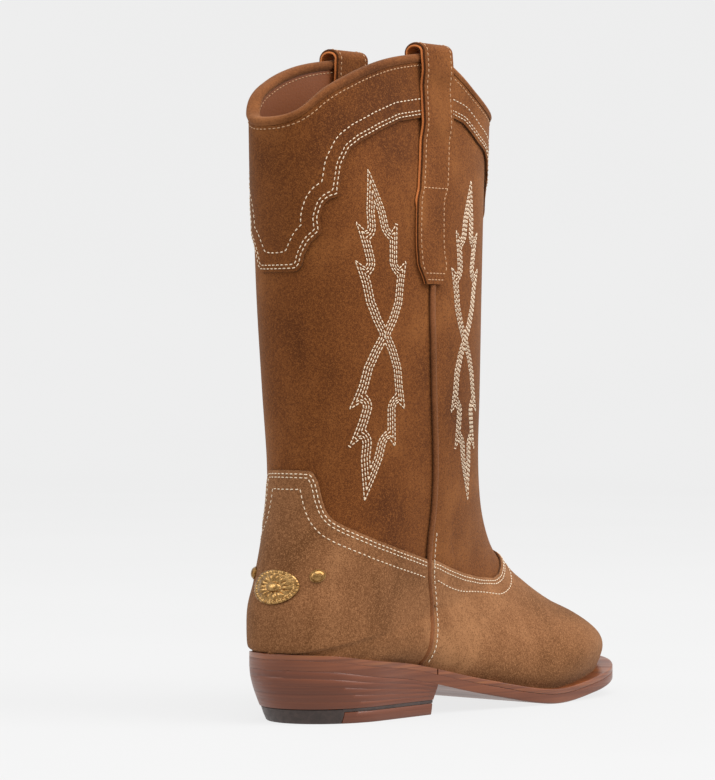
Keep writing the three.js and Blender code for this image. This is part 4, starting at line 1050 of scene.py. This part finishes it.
def edge_at(y):
    """How far the sole's edge stands out past the feather line: eased from the seat to the waist,
    the ball and the toe."""
    return (2.4 + 0.8 * smooth_step(0, HEEL_BREAST, y) + 2.8 * smooth_step(70, 130, y)
            + 3.6 * smooth_step(150, 205, y))


LOOP_COUNT, LOOP_EASE = 640, 7


def feather_loop():
    """The feather line as a closed even loop in plan, from the back centre by the outer side:
    the toe's end rounded forward, then a moving mean that eases its corners."""
    toe = np.linspace(0, math.pi, 9)[1:-1]
    a, b = feather_outer[-1, :2], feather_inner[-1, :2]
    middle, half = (a + b) / 2, (a - b) / 2
    cap = middle + np.cos(toe)[:, None] * half + np.sin(toe)[:, None] * np.array([0, 2.0])
    loop = np.vstack([feather_outer[:, :2], cap, feather_inner[:0:-1, :2]])
    closed = np.vstack([loop, loop[:1]])
    run = run_along(closed)
    loop = read_at(closed, run, np.linspace(0, run[-1], LOOP_COUNT, endpoint=False))
    wrapped = np.vstack([loop[-LOOP_EASE:], loop, loop[:LOOP_EASE]])
    return np.stack([np.convolve(column, hump(LOOP_EASE), "valid") for column in wrapped.T], axis=1)


LOOP = feather_loop()
loop_run = unit(np.roll(LOOP, -1, axis=0) - np.roll(LOOP, 1, axis=0))
LOOP_OUT = np.stack([loop_run[:, 1], -loop_run[:, 0]], axis=1)
LOOP_EDGE = edge_at(LOOP[:, 1])
CORNER_SHARE = 0.12 + 0.88 * smooth_step(HEEL_BREAST + 2, 100, LOOP[:, 1])


def loop_ring(inset, height):
    """The loop grown to the sole's edge less an inset, at a height from the feather line."""
    plan = LOOP + LOOP_OUT * (LOOP_EDGE - inset)[:, None]
    return np.column_stack([plan, feather_height(LOOP[:, 1]) + height])


def bridged(ring, columns, centred):
    """Rows of points straight across a ring, each from a point to its mate on the other side. A
    centred ring starts on the middle line, where a point is its own mate."""
    pairs = np.arange(len(ring) // 2 + centred)
    mates = -pairs if centred else -1 - pairs
    share = np.linspace(0, 1, columns)[None, :, None]
    return ring[pairs][:, None] * (1 - share) + ring[mates][:, None] * share


def capped_stack(rings, columns, centred=True):
    """A body through level rings: quads between them, and its first and last rings bridged."""
    rings = np.asarray(rings)
    count, sides = rings.shape[:2]
    low, high = (bridged(ring, columns, centred) for ring in (rings[0], rings[-1]))
    points = np.vstack([rings.reshape(-1, 3), low.reshape(-1, 3), high.reshape(-1, 3)])
    rows = low.shape[0]
    first = count * sides
    second = first + rows * columns
    return points, np.vstack([grid_faces(count, sides, closed=True),
                              grid_faces(rows, columns, first)[:, ::-1],
                              grid_faces(rows, columns, second)])


def rounded_side(low, high, low_corner, high_corner, steps=4):
    """Insets and heights up a side, for each point of the loop: a quarter circle, the upright, and
    a quarter circle. The corners are sharper over the heel."""
    turn = np.linspace(0, math.pi / 2, steps + 1)

    def quarter(size, level, up, turns):
        return [(size * (1 - math.sin(a)), level + up * size * (1 - math.cos(a))) for a in turns]
    return (quarter(low_corner * CORNER_SHARE, low, 1, turn)
            + quarter(high_corner * CORNER_SHARE, high, -1, turn[::-1]))


sole_side = rounded_side(OUTSOLE_BOTTOM, OUTSOLE_TOP, 1.0, 0.35)
slab = capped_stack([loop_ring(inset, height) for inset, height in sole_side], 22)
make_piece("outsole_slab", *slab, SOLE, "sole_leather", ["outsole"])

WELT_REACH = 8.0


def welt_strip(name, picks, finish, stands_for):
    """Part of the sole's edge loop carrying the welt's section: a rounded outer side, a low ridge
    and a flat way in under the upper."""
    section_line = rounded_side(WELT_TOP - WELT_THICK, WELT_TOP, 0.3, 0.6, 3)
    section_line += [(1.6, WELT_TOP + 0.12), (2.4, WELT_TOP)]
    way_in = LOOP_EDGE + WELT_REACH
    section_line += [(way_in, WELT_TOP), (way_in, WELT_TOP - WELT_THICK)]
    rings = np.stack([loop_ring(inset, height)[picks] for inset, height in section_line], axis=1)
    ring_points, ring_faces = sweep(rings, "fans")
    make_piece(name, ring_points, ring_faces, finish, "sole_leather", [stands_for])


loop_y = LOOP[:, 1]
ahead = np.flatnonzero(loop_y > HEEL_BREAST)
behind = np.flatnonzero(loop_y < HEEL_BREAST - 0.05)
gap_at = int(np.argmax(np.diff(behind))) + 1
welt_strip("forepart_welt", ahead, WELT_LOOK, "welt")
welt_strip("heel_seat_rand", np.roll(behind, -gap_at), WELT_LOOK, "heel_rand")

# ---- Heel ----
TOP_LIFT, TOP_LIFT_SKIN, RUBBER_FRONT = 7.5, 1.5, -11.0
HEEL_LIFTS, LIFT_GAP = 5, 0.02
HEEL_ROUND = 40.0
# The heel's back, breast and half width at the tread, each with what it gains up to the outsole.
HEEL_BACK, HEEL_FRONT, HEEL_HALF = (-27.5, -10.3), (53.0, 1.0), (31.0, 2.2)


def heel_top(y):
    """The underside of the outsole over the heel: the feather line's height taken down to just
    below the outsole's bottom.
    """
    return feather_height(y) + OUTSOLE_BOTTOM - 0.06


HEEL_BASE = TOP_LIFT / float(heel_top(0))


def seat_line(side, inset, breast, count):
    """The sole's edge in plan from the back centre to the breast, at even steps."""
    ring = loop_ring(inset, 0)[:, :2]
    line = ring[:LOOP_COUNT // 3]
    if side < 0:
        line = np.vstack([ring[:1], ring[:LOOP_COUNT * 2 // 3:-1]])
    run = run_along(line)
    return read_at(line, run, np.linspace(0, np.interp(breast, line[:, 1], run), count))


def heel_ring(share, height_at, inset, y_from=None, y_to=None, count=60):
    """A level of the heel: an ellipse round the back, straight sides and a flat breast, its sizes
    drawn straight from the tread to the outsole and its outline eased into the sole's edge at the
    top. y_from or y_to cut it short."""
    back, breast, half = (low + gain * share for low, gain in (HEEL_BACK, HEEL_FRONT, HEEL_HALF))
    back, breast, half = back + inset, breast - inset, half * width_share - inset
    fine_y = back + (breast - back) * (1 - np.cos(np.linspace(0, math.pi / 2, 400)))
    ahead_of_back = np.clip(1 - (fine_y - back) / HEEL_ROUND, 0, 1)
    line = np.stack([half * np.sqrt(1 - ahead_of_back ** 2), fine_y], axis=1)
    run = run_along(line)
    ends = (back if y_from is None else y_from, breast if y_to is None else y_to)
    outer = read_at(line, run, np.linspace(*np.interp(ends, line[:, 1], run), count))
    inner = outer * (-1, 1)
    if y_from is None and y_to is None:
        blend = share ** 2
        outer = outer * (1 - blend) + seat_line(1, inset + 0.1, breast, count) * blend
        inner = inner * (1 - blend) + seat_line(-1, inset + 0.1, breast, count) * blend
        outer[0, 0] = 0
    plan = np.vstack([outer, inner[:0:-1] if y_from is None else inner[::-1]])
    return np.column_stack([plan, height_at(plan[:, 1])])


def heel_block(low_share, low_at, high_share, high_at, corner, **cut):
    """A slab of the heel between two level laws, its rim rounded by four insets."""
    rings = []
    for part, inset, rise in ((0, 1, 0), (0, 0.3, 0.7), (0.5, 0, 0), (1, 0.3, -0.7), (1, 1, 0)):
        share = low_share + (high_share - low_share) * part
        rings.append(heel_ring(
            share, lambda y: low_at(y) + (high_at(y) - low_at(y)) * part + rise * corner,
            inset * corner, **cut))
    return capped_stack(rings, 12, "y_from" not in cut)


def heel_level(share):
    """A law for a level between the top lift and the outsole, at a share of the way up."""
    return lambda y: TOP_LIFT + 0.15 + (heel_top(y) - TOP_LIFT - 0.15) * share


def flat(height):
    """A law for a level that is the same all over."""
    return lambda y: 0 * y + height


for k in range(HEEL_LIFTS):
    low, high = k / HEEL_LIFTS, (k + 1) / HEEL_LIFTS
    level_low, level_high = heel_level(low), heel_level(high)
    lift = heel_block(HEEL_BASE + (1 - HEEL_BASE) * low, level_low,
                      HEEL_BASE + (1 - HEEL_BASE) * high, lambda y: level_high(y) - LIFT_GAP, 0.025)
    make_piece(f"stack_lift_{k + 1}", *lift, STACK, "stacked_leather", [f"heel_lift_{k + 1}"],
               corner=60)
SKIN_FLOOR = TOP_LIFT - TOP_LIFT_SKIN
tread = heel_block(0, flat(0), HEEL_BASE, flat(TOP_LIFT), 0.5, y_to=RUBBER_FRONT)
skin = heel_block(HEEL_BASE * 0.8, flat(SKIN_FLOOR), HEEL_BASE, flat(TOP_LIFT), 0.12,
                  y_from=RUBBER_FRONT - 1)
make_piece("rubber_top_lift", np.vstack([tread[0], skin[0]]),
           np.vstack([tread[1], skin[1] + len(tread[0])]), RUBBER, "heel_rubber",
           ["top_lift_rubber"], corner=60)
insert = heel_block(0, flat(0), HEEL_BASE * 0.8, flat(SKIN_FLOOR - 0.15), 0.3,
                    y_from=RUBBER_FRONT + 0.3)
make_piece("leather_top_lift", *insert, STACK, "stacked_leather", ["top_lift_leather"], corner=60)

# ---- Heel ornament: an oval concho and two studs ----
ORNAMENT_HEIGHT = 68.0
STUD_ACROSS = 36 * math.sin(math.radians(34))


def on_heel_back(x, z):
    """Station and girth share of the point at a given x and z: Newton's steps from the back centre,
    with slopes of x and z by station and share."""
    x, z = np.broadcast_arrays(np.asarray(x, float), np.asarray(z, float))
    s, c = np.full(x.shape, 7.1), x / 150
    for _ in range(12):
        along, round_ = slopes(s, c)
        miss = np.stack([x, z], axis=-1) - surface(s, c)[..., [0, 2]]
        det = along[..., 0] * round_[..., 2] - along[..., 2] * round_[..., 0]
        ds = (miss[..., 0] * round_[..., 2] - miss[..., 1] * round_[..., 0]) / det
        dc = (along[..., 0] * miss[..., 1] - along[..., 2] * miss[..., 0]) / det
        s = np.clip(s + np.clip(ds, -0.4, 0.4), 5.6, 8.3)
        c = np.clip(c + np.clip(dc, -0.08, 0.08), -0.6, 0.6)
    return s, c


def metal_disc(name, centre_x, centre_z, half_x, half_z, relief, stands_for, rings, sides):
    """A disc pressed to the heel: elliptical rings on the leather, lifted by a relief law of the
    share of the radius and the turn, with a thin rim and a flat back."""
    r = np.linspace(0, 1, rings)[:, None]
    turn = np.linspace(0, 2 * math.pi, sides, endpoint=False)[None, :]
    s, c = on_heel_back(centre_x + half_x * r * np.cos(turn), centre_z + half_z * r * np.sin(turn))
    front = lifted(s, c, 1.1 + relief(r, turn))
    rear = lifted(s[-1:], c[-1:], np.full((1, sides), 0.85))
    hub = rear.mean(axis=1, keepdims=True) * np.ones((1, sides, 1))
    rear = np.concatenate([rear, rear * 0.5 + hub * 0.5, hub])
    points = np.concatenate([front, rear]).reshape(-1, 3)
    faces = grid_faces(rings + 3, sides, closed=True)
    make_piece(name, points, faces, BRASS, "antique_brass", stands_for, corner=50)


def concho_relief(r, turn):
    """A domed boss, a ring of fluted petals, and a rope rim of beads."""
    boss = 1.5 * np.sqrt(np.clip(1 - (r / 0.3) ** 2, 0, 1))
    petals = 0.75 * np.sin(math.pi * np.clip((r - 0.32) / 0.46, 0, 1))
    petals = petals * np.abs(np.cos(7 * turn)) ** 0.6
    beads = 0.5 * np.sqrt(np.clip(1 - ((r - 0.9) / 0.085) ** 2, 0, 1))
    beads = beads * (0.55 + 0.45 * np.cos(34 * turn))
    return 0.6 + boss + petals + beads + 0.15 * (r < 0.97)


def stud_relief(r, turn):
    """A round dome over a small step."""
    return 0.4 + 1.5 * np.sqrt(np.clip(1 - (r / 0.85) ** 2, 0, 1))


metal_disc("oval_concho", 0, ORNAMENT_HEIGHT, 14, 8.5, concho_relief, ["heel_concho"], 56, 204)
for side, word in ((1, "outer"), (-1, "inner")):
    metal_disc(f"round_stud_{word}", STUD_ACROSS * side, ORNAMENT_HEIGHT + 6, 2.85, 3.2,
               stud_relief, [f"heel_stud_{word}"], 18, 40)

# ---- Stitching ----
THREAD_HALF = 0.29


def inset_line(s, c, distance):
    """A line on the form moved sideways by a distance, to the left of its run as seen from outside.
    The move is solved from the surface's slopes in three steps, and points nearer to the line than
    they have moved, which lie in its corners, are left out."""
    points = surface(s, c)
    for step in (1, 2, 3):
        run = unit(np.gradient(surface(s, c), axis=0))
        left = np.cross(normals(s, c), run) * distance / 3
        along, round_ = slopes(s, c)
        aa, ar, rr, pa, pr = (np.sum(p * q, axis=-1) for p, q in (
            (along, along), (along, round_), (round_, round_), (left, along), (left, round_)))
        det = aa * rr - ar * ar
        s, c = s + (pa * rr - pr * ar) / det, c + (pr * aa - pa * ar) / det
        near = np.min(np.linalg.norm(surface(s, c)[:, None] - points[None], axis=2), axis=1)
        keep = near > abs(distance) * step / 3 * 0.94
        s, c = s[keep], c[keep]
    return s, c


def stitch_places(points, out, pitch):
    """Even places along a row of points, with their run and outward directions."""
    run = run_along(points)
    count = max(int(run[-1] / pitch), 1)
    even = (np.arange(count) + 0.5) * run[-1] / count
    direction = read_at(points, run, even + 0.5) - read_at(points, run, even - 0.5)
    return read_at(points, run, even), unit(direction), unit(read_at(out, run, even))


def row_on_form(s, c, distance, pitch, reach=0):
    """Stitch places along a line on the form at a layer's distance."""
    s, c = eased(s, reach), eased(c, reach)
    out = normals(s, c)
    return stitch_places(lifted(s, c, distance), -out if distance < LINING_OUT else out, pitch)


def stitches(name, rows, length, half=THREAD_HALF, slot="suede_brown", finish=THREAD):
    """One small six-sided spindle per place: rings at four shares of its length, its ends sunk."""
    place, run, out = (np.vstack(parts) for parts in zip(*rows))
    over = unit(np.cross(out, run))
    turn = np.linspace(0, 2 * math.pi, 6, endpoint=False)
    rings = [(-0.5, 0.25, -0.55), (-0.26, 1.0, 0.25), (0.26, 1.0, 0.25), (0.5, 0.25, -0.55)]
    local = [(share * length, wide * half * math.cos(a), half * (wide * math.sin(a) * 0.85 + rise))
             for share, wide, rise in rings for a in turn]
    tips = [(-0.52 * length, 0, -0.6 * half), (0.52 * length, 0, -0.6 * half)]
    local = np.array(local + tips)
    points = (place[:, None] + local[None, :, :1] * run[:, None]
              + local[None, :, 1:2] * over[:, None] + local[None, :, 2:] * out[:, None])
    j = np.arange(6)
    k = (j + 1) % 6
    ends = [np.stack([k, j, np.full(6, 24), np.full(6, 24)], axis=1),
            np.stack([18 + j, 18 + k, np.full(6, 25), np.full(6, 25)], axis=1)]
    one = np.vstack([grid_faces(4, 6, closed=True)] + ends)
    faces = (one[None] + 26 * np.arange(len(place))[:, None, None]).reshape(-1, 4)
    return make_piece(name, points, faces, finish, slot, weld=False, corner=180)


def both_sides(s, c):
    """A line on the outer side joined, across the back or the front, to its twin on the inner."""
    twin = -c if c[0] < 0.3 else 2 - c
    return np.concatenate([s[:0:-1], s]), np.concatenate([twin[:0:-1], c])


COLLAR_ROW = 4.6
ring_c = np.linspace(0, 2, 900)
ring_s = read_table(collar_stations, ring_c)
below_s, below_c = inset_line(ring_s[:-1], ring_c[:-1], -COLLAR_ROW)
stitches("collar_stitching", [row_on_form(below_s, below_c, OVERLAY_OUT, 2.7)], 2.0,
         finish=THREAD_TAN)
stitches("lining_stitching", [row_on_form(below_s, below_c, LINING_IN, 2.9)], 2.0,
         slot="lining_leather", finish=THREAD_TAN)

# A double row along an overlay's edge and a single one further in, with the stitch of each.
ROW_DISTANCES = (1.7, 3.5, 9.6)
PITCHES = (2.7, 2.7, 2.9)
SEAM_CLEAR = 2.6


def edge_rows(line, layer, up, side_of_seam=0):
    """Rows above a scalloped edge, or below it where up is -1, on both sides of the boot in one
    run. A side of the seam, 1 ahead of it or -1 behind it, cuts them at its piping."""
    s, c = on_form(line[:, 0], line[:, 1])
    c[0] = 0 if layer == "back" else 1
    s, c = both_sides(s, c)
    left = up if layer == "back" else -up
    rows = []
    for distance, pitch in zip(ROW_DISTANCES, PITCHES):
        a, b = inset_line(s, c, left * distance)
        if side_of_seam:
            points = surface(a, b)
            clear = side_of_seam * (points[:, 1] - seam_y(points[:, 2])) > SEAM_CLEAR
            a, b = a[clear], b[clear]
        rows.append(row_on_form(a, b, OVERLAY_OUT, pitch, 3))
    return rows


yoke_rows = edge_rows(back_yoke_line, "back", 1) + edge_rows(front_yoke_line, "front", 1)
stitches("yoke_stitching", yoke_rows, 2.0, slot="suede_dark")

long_counter = along_line(np.vstack([COUNTER_EDGE, (58, 76.6)]), 0.5, 2.2)
long_counter[0, 0] = back_y(long_counter[0, 1])
long_vamp = along_line(np.vstack([(33, 83.5), VAMP_EDGE]), 0.7, 2.0)[::-1]
foot_rows = edge_rows(long_counter, "back", -1, -1) + edge_rows(long_vamp, "front", -1, 1)
# One more row down the vamp's rear edge, ahead of the piping.
REAR_ROW = 4.2
for side in (1, -1):
    z = np.linspace(94, seam_foot(REAR_ROW) + 1.5, 120)
    s, c = on_form(seam_y(z) + REAR_ROW, z)
    foot_rows.append(row_on_form(s, np.maximum(c, 1e-4) * side, OVERLAY_OUT + 0.05, 2.7))
stitches("foot_stitching", foot_rows, 2.0)

# Strap rows, read off the strap's own faces: one up each long edge, and three across.
CROSS_ROWS = (269, 222.5, 225)


def across_strap(face, share):
    """The line up a strap's face at a share of its half width, and the column behind it."""
    at = (share + 1) / 2 * (STRAP_COLUMNS - 1)
    i = int(min(at, STRAP_COLUMNS - 2))
    return face[:, i] * (1 - (at - i)) + face[:, i + 1] * (at - i), i


strap_rows = []
for side in (1, -1):
    face = strap_faces[side]
    out = unit(np.cross(np.gradient(face, axis=0), np.gradient(face, axis=1)))
    if np.mean(out[:100, :, 0] * side) < 0:
        out = -out
    for edge in (-1, 1):
        line, i = across_strap(face, edge * 0.82)
        strap_rows.append(stitch_places(line[6:], out[6:, i], 2.8))
    for level in CROSS_ROWS:
        i = int(np.argmin(np.abs(face[:LEG_ROWS, 0, 2] - level)))
        strap_rows.append(stitch_places(face[i, 1:-1], out[i, 1:-1], 2.5))
stitches("strap_stitching", strap_rows, 2.0, finish=THREAD_TAN)

# ---- Flame stitching on the shaft ----
FLAME = np.array([
    (2.6, 0), (6.5, 7), (10.2, 16), (12.0, 26), (15.0, 37), (10.2, 33.5), (8.6, 36), (9.8, 44),
    (12.2, 56), (7.6, 51.5), (6.0, 54), (5.4, 62), (3.2, 71), (0, 83)], float)
FLAME_ROWS = (0, 1.35, 2.7, 4.05)


def flame_outline():
    """A closed tall outline of four equal quarters, each a chain of tongues between its points."""
    right = np.vstack([FLAME[::-1] * (1, -1), FLAME[1:]])
    left = right[::-1] * (-1, 1)
    return np.vstack([right, left[1:]])


def flame_rows(centre_y, middle_z, side):
    """Parallel rows inside the outline, placed about a leaning centre line of the side view. A row
    is parted where the outline is too narrow for it."""
    rows = []
    outline = along_line(flame_outline(), 0.5)
    run = unit(np.gradient(outline, axis=0))
    inward = np.stack([-run[:, 1], run[:, 0]], axis=1)
    for distance in FLAME_ROWS:
        moved = outline + inward * distance
        near = np.min(np.linalg.norm(moved[:, None] - outline[None], axis=2), axis=1)
        moved = moved[near >= distance * 0.96]
        breaks = np.flatnonzero(np.linalg.norm(np.diff(moved, axis=0), axis=1) > 6) + 1
        for part in np.split(moved, breaks):
            if len(part) < 8:
                continue
            z = middle_z + part[:, 1]
            s, c = on_form(centre_y(z) + part[:, 0], z)
            rows.append(row_on_form(s, c * side, PANEL_OUT, 2.35, 1))
    return rows


def back_centre(z):
    """The rear flame's centre line: a parabola that leans back at both ends."""
    return 6.5 - 7.5 * ((z - 194) / 83) ** 2


def front_centre(z):
    """The front flame's centre line: a parabola that leans forward at both ends."""
    return 69.0 + 14 * ((z - 192) / 83) ** 2


for side, word in ((1, "outer"), (-1, "inner")):
    stitches(f"flame_stitching_back_{word}", flame_rows(back_centre, 194, side), 2.15, 0.33)
    stitches(f"flame_stitching_front_{word}", flame_rows(front_centre, 192, side), 2.15, 0.33)

# ---- Studio ----
FLOOR_HALF, FLOOR_BACK, FLOOR_BEND = 9.0, 3.4, 1.2


def studio_sweep():
    """A level floor that bends up on a quarter circle into a backdrop and faces the camera."""
    turn = np.linspace(0, math.pi / 2, 24)
    depth = np.concatenate([[-6.0, 0.0], FLOOR_BACK + FLOOR_BEND * np.sin(turn),
                            [FLOOR_BACK + FLOOR_BEND]])
    rise = np.concatenate([[0.0, 0.0], FLOOR_BEND * (1 - np.cos(turn)), [8.0]])
    across = np.linspace(-FLOOR_HALF, FLOOR_HALF, 9)
    a = math.radians(CAMERA_TURN)
    x = across[None, :] * math.cos(a) - depth[:, None] * math.sin(a)
    y = across[None, :] * math.sin(a) + depth[:, None] * math.cos(a)
    z = np.broadcast_to(rise[:, None], x.shape)
    return np.stack([x, y, z], axis=-1)


sweep_points = studio_sweep()
sweep_faces = grid_faces(*sweep_points.shape[:2])
floor_mesh = bpy.data.meshes.new("studio_floor")
floor_mesh.from_pydata(sweep_points.reshape(-1, 3).tolist(), [], sweep_faces.tolist())
floor_mesh.polygons.foreach_set("use_smooth", np.ones(len(floor_mesh.polygons), bool))
floor_look = Finish("pale_paper", Roughness=0.95, Specular_IOR_Level=0.0, Emission_Strength=0.91)
floor_look.shader.inputs["Emission Color"].default_value = tint("f0f0f0")
paper = floor_look.noise(3, 2, 0.5)
floor_look.wear(floor_look.mix(floor_look.ease(paper, 0.3, 0.7), tint("444444"), tint("474747")))
floor_mesh.materials.append(floor_look.material)
floor = bpy.data.objects.new("studio_floor", floor_mesh)
scene.collection.objects.link(floor)
floor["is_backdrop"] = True

MIDDLE = (np.array(cad_low) + np.array(cad_high)) / 2


def soft_light(name, azimuth, elevation, distance, size, power):
    """A square area light on a sphere about the boot, aimed at its middle."""
    a, e = math.radians(azimuth), math.radians(elevation)
    away = np.array([math.sin(a) * math.cos(e), -math.cos(a) * math.cos(e), math.sin(e)])
    data = bpy.data.lights.new(name, "AREA")
    data.size, data.energy = size, power
    light = bpy.data.objects.new(name, data)
    light.location = (MIDDLE + away * distance).tolist()
    light.rotation_mode = "QUATERNION"
    light.rotation_quaternion = Vector((-away).tolist()).to_track_quat("-Z", "Y")
    scene.collection.objects.link(light)


soft_light("overhead_box", 60, 66, 2.4, 2.2, 58)
soft_light("front_box", 112, 38, 2.3, 1.5, 48)
soft_light("rear_box", -30, 25, 2.6, 1.6, 22)
world = bpy.data.worlds.new("studio_air")
world.use_nodes = True
world.node_tree.nodes["Background"].inputs["Color"].default_value = (0.93, 0.935, 0.94, 1)
world.node_tree.nodes["Background"].inputs["Strength"].default_value = 0.75
scene.world = world
scene.view_settings.view_transform = "Standard"

low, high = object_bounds()
